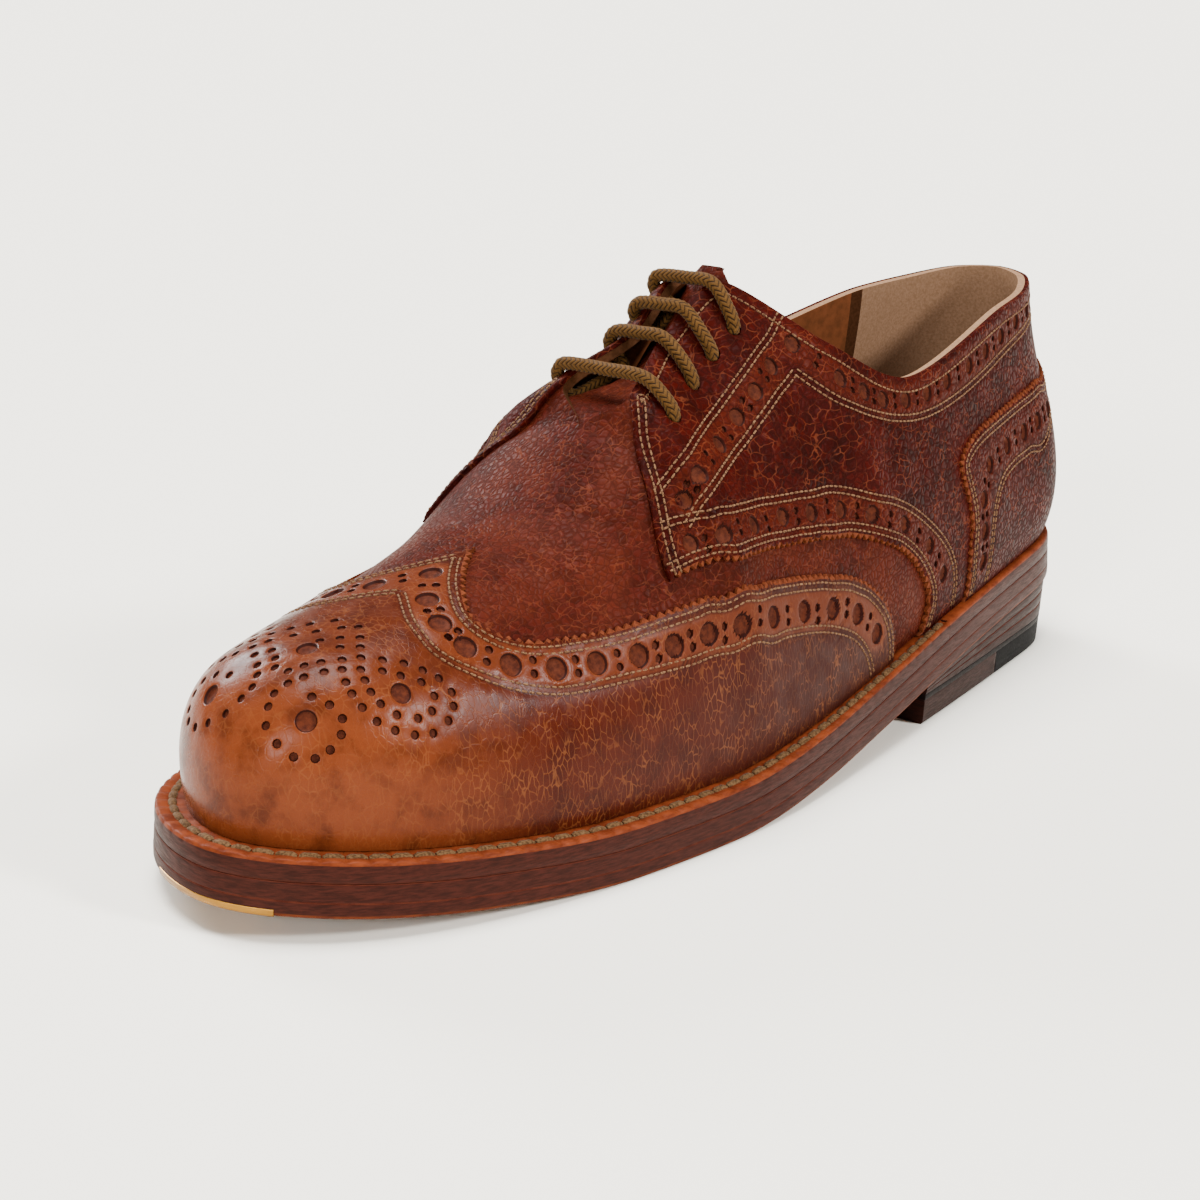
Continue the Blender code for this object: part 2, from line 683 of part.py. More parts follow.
def make_sole(home, cutters):
    """Outsole, midsole, welt, heel rand, insole, heel and toe plate."""
    mid_low = OUTSOLE_THICK + GAP
    mid_high = mid_low + MIDSOLE_THICK
    welt_low = mid_high + GAP
    whole = (0.0, SHOE_LENGTH)
    outsole = plate("outsole", home, "sole_leather", whole, 0.0, 0.2, layer(0.0), layer(OUTSOLE_THICK), 34)
    plate("midsole", home, "sole_leather", whole, MIDSOLE_INSET, MIDSOLE_INSET, layer(mid_low),
          layer(mid_high), 34)

    share, inset = rows(FEATHER, FEATHER_COLUMNS, "share"), rows(FEATHER, FEATHER_COLUMNS, "inset")

    def under(s):
        return float(smooth(share, inset, s)) + WELT_UNDER

    edge = constant(WELT_INSET)
    band("welt", home, "welt_leather", round_toe(WELT_END, 28), edge, under, layer(welt_low),
         layer(SOLE_THICK))
    band("heel_rand", home, "welt_leather", round_heel(WELT_END - 0.0012, 13), edge, under,
         layer(welt_low), layer(SOLE_THICK))

    rim = np.array([under(s) + GAP for s in FINE])
    outer, inner = edge_line(-1, FINE, rim)[0], edge_line(1, FINE, rim)[0]
    first, last = max(outer[0, 0], inner[0, 0]), min(outer[-1, 0], inner[-1, 0])
    run = first + (last - first) * (0.5 - 0.5 * np.cos(np.linspace(0, math.pi, 30)))
    loops = []
    for line, height in ((outer, layer(welt_low)), (inner, layer(welt_low)),
                         (inner, layer(SOLE_THICK + INSOLE_PROUD)), (outer, layer(SOLE_THICK + INSOLE_PROUD))):
        across = np.interp(run, np.maximum.accumulate(line[:, 0]), line[:, 1])
        loops.append(np.c_[run, across, height(run)])
    points, faces, size = loops_to_solid(loops)
    faces.append([k * size for k in range(4)])
    faces.append([k * size + size - 1 for k in range(4)][::-1])
    mesh_object("insole", points, faces, home, "insole_leather")

    heel = (0.0, HEEL_BREAST)
    taper = TOP_PIECE_THICK / 20.0
    middle = HEEL_INSET_FOOT + (HEEL_INSET_TOP - HEEL_INSET_FOOT) * taper
    plate("heel_stack", home, "sole_leather", heel, middle, HEEL_INSET_TOP, constant(TOP_PIECE_THICK + GAP),
          layer(-GAP), 26)
    top_piece = plate("heel_top_piece", home, "sole_leather", heel, HEEL_INSET_FOOT, middle, constant(0.0),
                      constant(TOP_PIECE_THICK), 26)
    corner = plate("heel_rubber", home, "heel_rubber", heel, HEEL_INSET_FOOT, middle, constant(0.0),
                   constant(TOP_PIECE_THICK), 26)
    for piece, sign in ((top_piece, -1), (corner, 1)):
        a, b = (np.array(p) for p in RUBBER_CUT)
        along = (b - a) / np.linalg.norm(b - a)
        aside = np.array((-along[1], along[0])) * -sign
        near = [a - along * 100.0 + aside * GAP / 2, b + along * 100.0 + aside * GAP / 2]
        far = [p + aside * 200.0 for p in near]
        loop = [near[0], near[1], far[1], far[0]]
        points = [(*p, z) for z in (-10.0, 20.0) for p in loop]
        faces = [(0, 1, 2, 3), (4, 5, 6, 7), (0, 1, 5, 4), (1, 2, 6, 5), (2, 3, 7, 6), (3, 0, 4, 7)]
        block = mesh_object("cut_" + piece.name, points, faces, cutters)
        block.display_type = "WIRE"
        block.hide_render = True
        boolean(piece, block, "INTERSECT")

    def reach(more):
        def inset_of(s):
            part = (1 - s) / (1 - TOE_PLATE_FROM)
            return 1.2 + (TOE_PLATE_REACH - 1.2) * (1 - part * part) + more
        return inset_of

    toe = round_toe(TOE_PLATE_FROM, 14)
    wide = round_toe(TOE_PLATE_FROM - 0.002, 14)
    band("toe_plate", home, "toe_plate_brass", toe, constant(0.0), reach(0.0), layer(0.0),
         layer(TOE_PLATE_THICK))
    recess = band("cut_toe_plate", cutters, None, wide, constant(-2.0), reach(GAP), layer(-4.0),
                  layer(TOE_PLATE_THICK + GAP))
    recess.display_type = "WIRE"
    recess.hide_render = True
    boolean(outsole, recess, "DIFFERENCE")


def eyelet_axis(side, share, up):
    at = section(side, np.array([share]), np.array([up]))[0]
    return at, facing_out(side, np.array([share]), np.array([up]))[0]


def make_upper(home, cutters):
    """The hollow upper and the leathers laid on it."""
    upper = shell("upper", home, "upper_leather", UPPER_SKIN - UPPER_WALL, UPPER_SKIN)

    tail = WING_EDGE[0][0]
    half = fill_edge([(-1, a, b) for a, b in WING_EDGE], 10.0)
    edge = [(-1, s, 0.0) for s in np.linspace(1.0, tail, 16)] + half + [(-1, *WING_EDGE[-1])]
    edge += [(1, a, b) for _, a, b in half[::-1]] + [(1, s, 0.0) for s in np.linspace(tail, 1.0, 16)[:-1]]
    wing = shell("wing_cap", home, "cap_leather", OVERLAY_BASE, OVERLAY_TOP, first=0.35, hem=HEM)
    boolean(wing, punch("cut_wing_cap", cutters, edge, -4.0, 6.0), "INTERSECT")

    tail = COUNTER_EDGE[-1][0]
    half = fill_edge([(1, a, b) for a, b in COUNTER_EDGE], 10.0)[1:] + [(1, *COUNTER_EDGE[-1])]
    edge = [(1, *COUNTER_EDGE[0])] + half + [(1, s, 0.0) for s in np.linspace(tail, 0.0, 8)]
    edge += [(-1, s, 0.0) for s in np.linspace(0.0, tail, 8)[1:]] + [(-1, a, b) for _, a, b in half[::-1]]
    counter = shell("heel_counter", home, "upper_leather", COUNTER_BASE, COUNTER_TOP, last=0.31, hem=HEM)
    boolean(counter, punch("cut_heel_counter", cutters, edge, -3.0, 6.0), "INTERSECT")

    for side in (-1, 1):
        pins = []
        for k, (share, up) in enumerate(EYELETS):
            at, way = eyelet_axis(side, share, up)
            label = "cut_eyelet_%d_%d" % (side + 1, k)
            pins.append(rod(label, cutters, at - way * 9.0, at + way * 9.0, EYELET_RADIUS))
        label = "outer" if side < 0 else "inner"
        tail = QUARTER_EDGE[0][0]
        edge = fill_edge([(side, a, b) for a, b in QUARTER_EDGE], 10.0)
        edge += [(side, s, 1.06) for s in np.linspace(QUARTER_CORNER, 0.0, 23)]
        edge += [(side, 0.0, b) for b in np.linspace(1.0, 0.1, 6)]
        edge += [(side, s, 0.0) for s in np.linspace(0.0, tail, 12)]
        quarter = shell("quarter_" + label, home, "upper_leather", OVERLAY_BASE, OVERLAY_TOP,
                        first=QUARTER_SEAM, last=0.68, hem=HEM, sides=(side,))
        boolean(quarter, punch("cut_quarter_" + label, cutters, edge, -4.0, 6.0), "INTERSECT")
        drop_scraps(quarter)
        for pin in pins:
            boolean(quarter, pin, "DIFFERENCE")
            boolean(upper, pin, "DIFFERENCE")


def make_tongue(home):
    """A leather tongue under the facings."""
    rings = []
    for share, depth, start in TONGUE:
        up = np.linspace(start, 0.99, 4)
        outer = skin(-1, np.full_like(up, share), up, np.full_like(up, -depth))
        inner = skin(1, np.full_like(up, share), up, np.full_like(up, -depth))[::-1]
        outer = outer[outer[:, 1] < -1.0]
        inner = inner[inner[:, 1] > 1.0]
        line = np.vstack((outer, inner))
        length = np.r_[0, np.cumsum(np.linalg.norm(np.diff(line, axis=0), axis=1))]
        at = np.linspace(0, length[-1], 9)
        rings.append(np.stack([np.interp(at, length, line[:, k]) for k in range(3)], axis=1))
    rise = rings[-1] - rings[-2]
    rise = rise / np.linalg.norm(rise, axis=1, keepdims=True)
    rings.append(rings[-1] + rise * TONGUE_RISE * 0.7)
    centre = rings[-1].mean(axis=0)
    rings.append(centre + (rings[-1] + rise * TONGUE_RISE * 0.3 - centre) * np.array((1.0, 0.8, 1.0)))
    grid = np.array(rings)
    ahead = np.gradient(grid, axis=0)
    aside = np.gradient(grid, axis=1)
    down = np.cross(ahead, aside)
    down /= np.linalg.norm(down, axis=2, keepdims=True)
    down *= np.where(down[..., 2:] > 0, -1.0, 1.0)
    both = (grid, grid + down * TONGUE_THICK)
    n, m = grid.shape[:2]
    points = np.concatenate([g.reshape(-1, 3) for g in both])
    faces = []
    for i in range(n - 1):
        for j in range(m - 1):
            for first in (i * m + j, n * m + i * m + j):
                faces.append([first, first + 1, first + m + 1, first + m])
    rim = [(0, j) for j in range(m)] + [(i, m - 1) for i in range(1, n)]
    rim += [(n - 1, j) for j in range(m - 2, -1, -1)] + [(i, 0) for i in range(n - 2, 0, -1)]
    for (a, b), (c, d) in zip(rim, rim[1:] + rim[:1]):
        faces.append([a * m + b, c * m + d, n * m + c * m + d, n * m + a * m + b])
    mesh_object("tongue", points, faces, home, "tongue_leather")


def make_lace(home):
    """One round cord: four bars over the throat, joined under the facings from row to row."""
    def over(side, share, up, lift):
        return skin(side, np.array([share]), np.array([up]), np.array([lift]))[0]

    path = []
    side = -1
    for k, (share, up) in enumerate(EYELETS):
        climb = [(up, LACE_UNDER + 1.2), (up, 1.9), (up + 0.032, LACE_OVER + 0.75), (0.985, LACE_OVER)]
        first = [over(side, share, v, lift) for v, lift in climb]
        second = [over(-side, share, v, lift) for v, lift in climb]
        edges = over(side, share, 1.0, LACE_OVER) + over(-side, share, 1.0, LACE_OVER)
        middle = edges / 2 + UP * LACE_ARCH
        path += first + [middle] + second[::-1]
        side = -side
        if k < len(EYELETS) - 1:
            here, there = over(side, share, up, LACE_UNDER), over(side, *EYELETS[k + 1], LACE_UNDER)
            run = (there - here) / np.linalg.norm(there - here)
            path += [here + run * 2.0, there - run * 2.0]
    tube("lace", home, "lace_cord", spline_path(path, 2), LACE_RADIUS)


def main():
    for old in list(bpy.data.objects):
        bpy.data.objects.remove(old, do_unlink=True)
    home = collection("full_brogue_shoe")
    cutters = collection("cutters", hidden=True)
    make_sole(home, cutters)
    make_upper(home, cutters)
    make_tongue(home)
    make_lace(home)


main()
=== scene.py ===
# %% [markdown]
# # A full brogue derby, left shoe
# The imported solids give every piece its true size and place. This lesson dresses them: the leathers
# get their grain, seams, punched holes and pinked edges, the sole its layers, and the lace its braid.
# All sizes below are millimetres in the shoe's own terms: station runs from the heel back to the toe,
# y to the inner side of the foot, and height from the floor.

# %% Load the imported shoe
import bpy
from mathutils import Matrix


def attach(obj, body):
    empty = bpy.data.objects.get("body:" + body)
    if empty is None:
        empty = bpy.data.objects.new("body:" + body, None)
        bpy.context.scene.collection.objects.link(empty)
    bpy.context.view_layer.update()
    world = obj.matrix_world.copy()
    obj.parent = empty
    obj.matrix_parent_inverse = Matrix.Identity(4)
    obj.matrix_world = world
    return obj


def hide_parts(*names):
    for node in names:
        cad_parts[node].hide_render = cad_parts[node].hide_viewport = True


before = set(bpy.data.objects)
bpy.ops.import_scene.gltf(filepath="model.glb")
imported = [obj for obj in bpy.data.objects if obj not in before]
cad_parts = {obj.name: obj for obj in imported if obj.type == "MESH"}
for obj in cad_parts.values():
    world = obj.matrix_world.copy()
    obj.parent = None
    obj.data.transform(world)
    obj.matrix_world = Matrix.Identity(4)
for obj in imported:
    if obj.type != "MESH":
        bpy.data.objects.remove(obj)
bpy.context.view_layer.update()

import math

import bmesh
import bpy
import numpy as np
from mathutils import Matrix, Vector
from mathutils.bvhtree import BVHTree
from mathutils.geometry import delaunay_2d_cdt
from mathutils.kdtree import KDTree

# %% [markdown]
# ## The last
# A shoe is built on a last, a solid form of the foot. Here the last is a set of curved sections that
# stand on the feather line, where upper meets sole, and end on the top line: the collar and facing
# edge at the back, the ridge of the vamp in front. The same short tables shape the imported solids, so
# leather that is laid on this surface lies where those solids are.

# %% Tables of the last
MM = 0.001
SHOE_LENGTH = 300.0
CENTRE_STATION, CENTRE_Y = 149.76, 3.47      # station and y that lie on the frame's origin
TOE_TIP_Y = 1.7
SOLE_THICK = 12.1
FEATHER_RISE = 0.3
PLAN = (                                     # station, outer half width, inner half width
    (10.0, 21.9, 21.9), (35.0, 30.2, 30.2), (85.0, 38.0, 29.5), (130.0, 44.1, 31.0),
    (170.0, 48.6, 44.5), (205.0, 47.4, 54.6), (240.0, 41.9, 53.6), (270.0, 31.8, 42.6),
    (290.0, 18.0, 27.6),
)
SPRING = (                                   # station, height of the outsole's lower face
    (0.0, 19.8), (80.0, 12.8), (115.0, 7.7), (155.0, 2.6), (190.0, 0.0), (220.0, 0.0), (255.0, 2.3),
    (300.0, 6.5),
)
FEATHER = (                                  # share of the half edge, distance in from the sole's edge
    (0.0, 4.2), (0.25, 3.8), (0.40, 4.6), (0.60, 6.5), (0.85, 7.5), (1.0, 8.0),
)
SECTION_COLUMNS = (
    "share", "top_station", "top_outer", "top_inner", "top_height", "heading",
    "lean_outer", "lean_inner", "low_handle", "arrive", "high_outer", "high_inner",
)
SECTIONS = {
    "heel back":     (0.000, 8.7, 0.0, 0.0, 99.0, -90, 23, 23, 22, 96, 26, 26),
    "heel round":    (0.050, 12.2, 9.6, 10.4, 98.4, -70, 23, 23, 22, 92, 24, 25),
    "heel quarter":  (0.100, 22.6, 16.2, 18.0, 96.6, -48, 23, 22, 22, 87, 22, 24),
    "collar back":   (0.170, 43.0, 21.5, 22.0, 95.0, -15, 18, 16, 19, 88, 22, 22),
    "collar low":    (0.270, 96.0, 28.0, 29.0, 86.0, 0, 12, 8, 20, 78, 22, 22),
    "collar front":  (0.360, 125.0, 22.0, 20.0, 97.5, 10, 10, 4, 24, 60, 25, 27),
    "facing top":    (0.420, 145.5, 5.5, 6.0, 112.0, 10, 8, 2, 27, 44, 30, 34),
    "facing":        (0.490, 162.0, 3.5, 4.5, 102.0, 5, 8, 4, 26, 36, 32, 36),
    "throat corner": (0.560, 180.5, 8.5, 10.5, 91.5, 0, 8, 8, 24, 24, 33, 37),
    "throat":        (0.600, 188.5, 0.0, 0.0, 84.0, 0, 8, 8, 22, 0, 38, 43),
    "ball":          (0.680, 212.0, 0.0, 0.0, 66.5, 0, 8, 10, 17, 0, 34, 40),
    "joint":         (0.790, 241.0, 0.0, 0.0, 59.0, 0, 8, 10, 17, 0, 26, 32),
    "toe shoulder":  (0.880, 266.0, 0.0, 0.0, 53.5, 25, 8, 14, 17, 3, 22, 30),
    "toe tip":       (1.000, 266.0, 0.0, 0.0, 53.5, 90, 8, 8, 16, 8, 22, 22),
}
THROAT_SHARE, CORNER_SHARE = 0.60, 0.5545
HANDLE_BLUR = 0.02
OUTER, INNER = -1, 1                         # the two sides of the shoe
UP = np.array((0.0, 0.0, 1.0))


# %% Curves through a table
def smooth(x, y, at):
    """Monotone cubic curve through the points x, y, read at the given places."""
    x, y, at = np.asarray(x, float), np.asarray(y, float), np.asarray(at, float)
    step = np.diff(x)
    grade = np.diff(y) / step
    slope = np.zeros_like(y)
    for i in range(1, len(x) - 1):
        if grade[i - 1] * grade[i] > 0:
            before, after = 2 * step[i] + step[i - 1], step[i] + 2 * step[i - 1]
            slope[i] = (before + after) / (before / grade[i - 1] + after / grade[i])
    slope[0], slope[-1] = grade[0], grade[-1]
    i = np.clip(np.searchsorted(x, at) - 1, 0, len(step) - 1)
    s = np.clip((at - x[i]) / step[i], 0, 1)
    value = (1 + 2 * s) * (1 - s) ** 2 * y[i] + s * s * (3 - 2 * s) * y[i + 1]
    return value + step[i] * (s * (1 - s) ** 2 * slope[i] + s * s * (s - 1) * slope[i + 1])


def ring_spline(points, count):
    """Closed curve with even curvature through the points, read at even steps of its length."""
    p = np.asarray(points, float)
    k = len(p)
    step = np.sqrt(np.linalg.norm(np.roll(p, -1, 0) - p, axis=1))
    t = np.r_[0, np.cumsum(step)]
    matrix, right = np.zeros((k, k)), np.zeros((k, 2))
    for i in range(k):
        a, b, nxt = step[i - 1], step[i], (i + 1) % k
        matrix[i, i - 1] += a
        matrix[i, i] += 2 * (a + b)
        matrix[i, nxt] += b
        right[i] = 6 * ((p[nxt] - p[i]) / b - (p[i] - p[i - 1]) / a)
    bend = np.linalg.solve(matrix, right)

    def read(s):
        i = np.clip(np.searchsorted(t, s, side="right") - 1, 0, k - 1)
        j = (i + 1) % k
        h = step[i][:, None]
        u, v = (t[i + 1] - s)[:, None], (s - t[i])[:, None]
        ends = (p[i] / h - bend[i] * h / 6) * u + (p[j] / h - bend[j] * h / 6) * v
        return (bend[i] * u ** 3 + bend[j] * v ** 3) / (6 * h) + ends

    fine = np.linspace(0, t[-1], 6 * count + 1)
    dense = read(fine)
    length = np.r_[0, np.cumsum(np.linalg.norm(np.diff(dense, axis=0), axis=1))]
    return read(np.interp(np.linspace(0, length[-1], count, endpoint=False), length, fine))


def run_lengths(line):
    """Distance along a line at each of its points."""
    return np.r_[0, np.cumsum(np.linalg.norm(np.diff(line, axis=0), axis=1))]


def along_line(line, lengths, at):
    """Points of a line at the given distances along it."""
    return np.stack([np.interp(at, lengths, line[:, k]) for k in range(line.shape[1])], axis=-1)


def rounded(points, step):
    """A rounded path through the points, with places an even step apart."""
    p = np.asarray(points, float)
    p = np.vstack((2 * p[0] - p[1], p, 2 * p[-1] - p[-2]))
    t = np.linspace(0, 1, 24, endpoint=False)[:, None]
    out = []
    for i in range(1, len(p) - 2):
        a, b, c, d = p[i - 1:i + 3]
        out.append(0.5 * (2 * b + (c - a) * t + (2 * a - 5 * b + 4 * c - d) * t ** 2
                          + (3 * b - a - 3 * c + d) * t ** 3))
    line = np.vstack(out + [p[-2:-1]])
    length = run_lengths(line)
    at = np.linspace(0, length[-1], max(2, int(round(length[-1] / step)) + 1))
    return along_line(line, length, at)


# %% Edge of the sole
def tread(station):
    """Height of the outsole's lower face."""
    table = np.array(SPRING)
    return smooth(table[:, 0], table[:, 1], station)


def sole_halves():
    """Outer and inner halves of the sole's edge, each from the heel back to the toe tip."""
    outer = [(station, -half) for station, half, _ in PLAN]
    inner = [(station, half) for station, _, half in reversed(PLAN)]
    edge = ring_spline([(0.0, 0.0)] + outer + [(SHOE_LENGTH, TOE_TIP_Y)] + inner, 1800)
    tip = edge[:, 0].argmax()
    return {OUTER: edge[:tip + 1], INNER: np.vstack((edge[:1], edge[tip:][::-1]))}


HALF = sole_halves()
FINE = np.linspace(0.0, 1.0, 601)


def edge_line(side, share, inset):
    """Points in plan along one half of the edge, moved in from it, with the outward direction."""
    line = HALF[side]
    length = run_lengths(line)

    def at(s):
        return along_line(line, length, np.clip(s, 0, 1) * length[-1])

    share = np.asarray(share, float)
    along = at(share + 0.006) - at(share - 0.006)
    along[share <= 0.0] = (0.0, side)
    along[share >= 1.0] = (0.0, -side)
    along /= np.linalg.norm(along, axis=-1, keepdims=True)
    out = np.stack((-along[..., 1], along[..., 0]), axis=-1) * side
    return at(share) - out * np.asarray(inset, float)[..., None], out


def feather_inset(share):
    table = np.array(FEATHER)
    return smooth(table[:, 0], table[:, 1], share)


def feather_line(side):
    plan, out = edge_line(side, FINE, feather_inset(FINE))
    height = tread(plan[:, 0]) + SOLE_THICK + FEATHER_RISE
    return np.c_[plan, height], np.c_[out, 0 * height]


FOOT = {side: feather_line(side) for side in (OUTER, INNER)}
print("half edge lengths:", {side: round(float(run_lengths(HALF[side])[-1]), 1) for side in HALF})


# %% Surface of the last
BOTH_COLUMNS = ("share", "top_station", "top_height", "heading", "low_handle", "arrive")
SIDE_COLUMNS = ("top", "lean", "high")
DENSE = np.linspace(0.0, 1.0, 4001)          # shares at which the table's curves are kept


def side_sections(side):
    """The section table of one side, carried on round the heel and the toe into the other side."""
    mine, other = ("outer", "inner") if side == OUTER else ("inner", "outer")
    made = []
    for row in (dict(zip(SECTION_COLUMNS, values)) for values in SECTIONS.values()):
        for place in ("heel", "body", "toe"):
            face = mine if place == "body" else other
            new = {k: row[k] for k in BOTH_COLUMNS}
            new.update({k: row[k + "_" + face] for k in SIDE_COLUMNS})
            if place == "heel":
                new.update(share=-row["share"], top=-new["top"], heading=-180 - row["heading"])
            if place == "toe":
                new.update(share=2 - row["share"], top=-new["top"], heading=180 - row["heading"])
            if place == "body" or -0.3 < new["share"] < 0 or 1 < new["share"] < 1.3:
                made.append(new)
    made.sort(key=lambda new: new["share"])
    return {name: np.array([new[name] for new in made], float) for name in made[0]}


LAST = {side: side_sections(side) for side in (OUTER, INNER)}


def dense_column(side, name):
    """A column of the section table at many shares; handles are blurred between sections."""
    table = LAST[side]
    if name.startswith("top"):
        return smooth(table["share"], table[name], DENSE)
    shifts = [DENSE + HANDLE_BLUR * k for k in (-1, -0.5, 0, 0.5, 1)]
    return sum(smooth(table["share"], table[name], at) for at in shifts) / len(shifts)


COLUMNS = {side: {name: dense_column(side, name) for name in LAST[side]} for side in LAST}


def column(side, name, share):
    """A column of the section table read at any share."""
    return np.interp(share, DENSE, COLUMNS[side][name])


def pick(table, share):
    return np.stack([np.interp(share, FINE, table[:, i]) for i in range(3)], axis=-1)


def section(side, share, up):
    """Points on the last: share along the half edge, and share up the section."""
    share, up = np.asarray(share, float), np.asarray(up, float)[..., None]
    foot, out = pick(FOOT[side][0], share), pick(FOOT[side][1], share)
    top = np.stack((column(side, "top_station", share), side * column(side, "top", share),
                    column(side, "top_height", share)), axis=-1)
    turn = np.radians(column(side, "heading", share))
    way = np.stack((np.sin(turn), side * np.cos(turn), 0 * turn), axis=-1)
    drop = np.radians(column(side, "arrive", share))[..., None]
    lean = np.radians(column(side, "lean", share))[..., None]
    low = foot + column(side, "low_handle", share)[..., None] * (np.cos(lean) * UP + np.sin(lean) * out)
    high = top + column(side, "high", share)[..., None] * (np.cos(drop) * way - np.sin(drop) * UP)
    rest = 1 - up
    return rest ** 3 * foot + 3 * up * rest ** 2 * low + 3 * up * up * rest * high + up ** 3 * top


def facing_out(side, share, up):
    """Unit direction out of the last's surface; the two sides agree where they meet."""
    step = 0.004
    share, up = np.asarray(share, float), np.asarray(up, float)

    def one(face):
        level = np.minimum(up, 0.965)
        before, after = (np.clip(share + move, 0, 1) for move in (-step, step))
        ahead = section(face, after, level) - section(face, before, level)
        above = section(face, share, level + step) - section(face, share, np.maximum(level - step, 0))
        normal = np.cross(ahead, above) * -face
        return normal / np.linalg.norm(normal, axis=-1, keepdims=True)

    normal = one(side)
    meets = (share <= 0) | (share >= 1) | ((up >= 1) & (share >= THROAT_SHARE))
    both = normal + one(-side)
    both /= np.linalg.norm(both, axis=-1, keepdims=True)
    return np.where(meets[..., None], both, normal)


def skin(side, share, up, lift):
    """Points at a distance from the last's surface."""
    share, up = np.asarray(share, float), np.asarray(up, float)
    return section(side, share, up) + facing_out(side, share, up) * np.asarray(lift, float)[..., None]


def metres(points):
    """From station, y and height to the frame."""
    p = np.asarray(points, float)
    return np.stack((CENTRE_STATION - p[..., 0], p[..., 1] - CENTRE_Y, p[..., 2]), axis=-1) * MM


print("instep height on the last:", section(OUTER, [0.42], [1.0])[0].round(1))

# %% [markdown]
# ## Camera, floor and light
# The camera stands where the photograph was taken from: a little above the toe, on the outer side,
# with a lens of about 75 mm. A pale floor runs into the backdrop and four far, soft lamps do the rest,
# as on a small product table. These come first, so that every later step can be looked at.

# %% Camera
CAMERA_TARGET = np.array((1.74, 61.46, 21.80))
CAMERA_AZIMUTH, CAMERA_ELEVATION, CAMERA_ROLL = -48.609, 17.052, 0.629
CAMERA_DISTANCE, CAMERA_FOCAL, SENSOR = 636.794, 74.68, 36.0
CAMERA_SHIFT = 0.105                         # slides the frame sideways until the one shoe is in its middle


def make_camera():
    azimuth, elevation, roll = np.radians((CAMERA_AZIMUTH, CAMERA_ELEVATION, CAMERA_ROLL))
    back = np.array((math.sin(azimuth) * math.cos(elevation), -math.cos(azimuth) * math.cos(elevation),
                     math.sin(elevation)))
    right = np.array((math.cos(azimuth), math.sin(azimuth), 0.0))
    above = np.cross(back, right)
    right, above = (math.cos(roll) * right + math.sin(roll) * above,
                    math.cos(roll) * above - math.sin(roll) * right)
    lens = bpy.data.cameras.new("camera")
    lens.sensor_width = SENSOR
    lens.lens = CAMERA_FOCAL
    lens.shift_x = CAMERA_SHIFT
    lens.clip_start = 0.01
    made = bpy.data.objects.new("camera", lens)
    bpy.context.scene.collection.objects.link(made)
    turn = Matrix((right, above, back)).transposed().to_4x4()
    turn.translation = Vector((CAMERA_TARGET + back * CAMERA_DISTANCE) * MM)
    made.matrix_world = turn
    bpy.context.scene.camera = made
    return made


camera = make_camera()
print("camera at", [round(v, 3) for v in camera.location])


# %% Colours and shader nodes
def linear(code):
    """Linear colour from an sRGB hex value."""
    parts = [int(code[i:i + 2], 16) / 255 for i in (1, 3, 5)]
    return (*[c / 12.92 if c <= 0.04045 else ((c + 0.055) / 1.055) ** 2.4 for c in parts], 1.0)


def add(tree, kind, settings=(), **sockets):
    """One shader node with its settings; a socket is given a value or another node's output."""
    made = tree.nodes.new(kind)
    for name, value in dict(settings).items():
        setattr(made, name, value)
    for name, value in sockets.items():
        socket = made.inputs[int(name[1:])] if name[1:].isdigit() else made.inputs[name.replace("_", " ")]
        if isinstance(value, bpy.types.NodeSocket):
            tree.links.new(value, socket)
        else:
            socket.default_value = value
    return made


def new_material(name):
    """An empty material and its tree, with a Principled shader."""
    made = bpy.data.materials.new(name)
    made.use_nodes = True
    return made, made.node_tree, made.node_tree.nodes["Principled BSDF"]


# %% Floor and lamps
FLOOR_COLOUR, WORLD_COLOUR = "#f9f4e8", "#e8e7e5"
FLOOR_SIZE = 40.0
AMBIENT = 0.30
LAMPS = {                                    # direction towards the lamp, spread in degrees, strength
    "top softbox": ((0.00, 0.12, 0.99), 36.0, 8.0),
    "outer softbox": ((0.25, -0.82, 0.52), 11.0, 4.0),
    "far softbox": ((0.16, 0.88, 0.45), 24.0, 3.4),
    "toe softbox": ((-0.90, -0.24, 0.36), 14.0, 2.4),
}


def make_stage():
    mesh = bpy.data.meshes.new("floor")
    half = FLOOR_SIZE / 2
    corners = [(-half, -half, 0), (half, -half, 0), (half, half, 0), (-half, half, 0)]
    mesh.from_pydata(corners, [], [(0, 1, 2, 3)])
    floor = bpy.data.objects.new("floor", mesh)
    bpy.context.scene.collection.objects.link(floor)
    paper, tree, shader = new_material("paper_backdrop_matt")
    shader.inputs["Base Color"].default_value = linear(FLOOR_COLOUR)
    shader.inputs["Roughness"].default_value = 0.95
    shader.inputs["Specular IOR Level"].default_value = 0.1
    mesh.materials.append(paper)
    world = bpy.data.worlds.new("studio")
    world.use_nodes = True
    world.node_tree.nodes["Background"].inputs["Color"].default_value = linear(WORLD_COLOUR)
    world.node_tree.nodes["Background"].inputs["Strength"].default_value = AMBIENT
    bpy.context.scene.world = world
    for name, (toward, angle, strength) in LAMPS.items():
        lamp = bpy.data.lights.new(name, "SUN")
        lamp.energy = strength
        lamp.angle = math.radians(angle)
        made = bpy.data.objects.new(name, lamp)
        made.rotation_euler = (-Vector(toward)).to_track_quat("-Z", "Y").to_euler()
        bpy.context.scene.collection.objects.link(made)


make_stage()
print("lamps:", list(LAMPS))

# %% [markdown]
# ## Flat patterns
# A pattern cutter lays the skin of the last flat, draws each panel there, and brings the cut leather
# back onto the last. A chart below does that. Lines are drawn on the last as share and up, seams and
# holes are worked in the flat with true millimetres, and every spot finds its way back to the last.


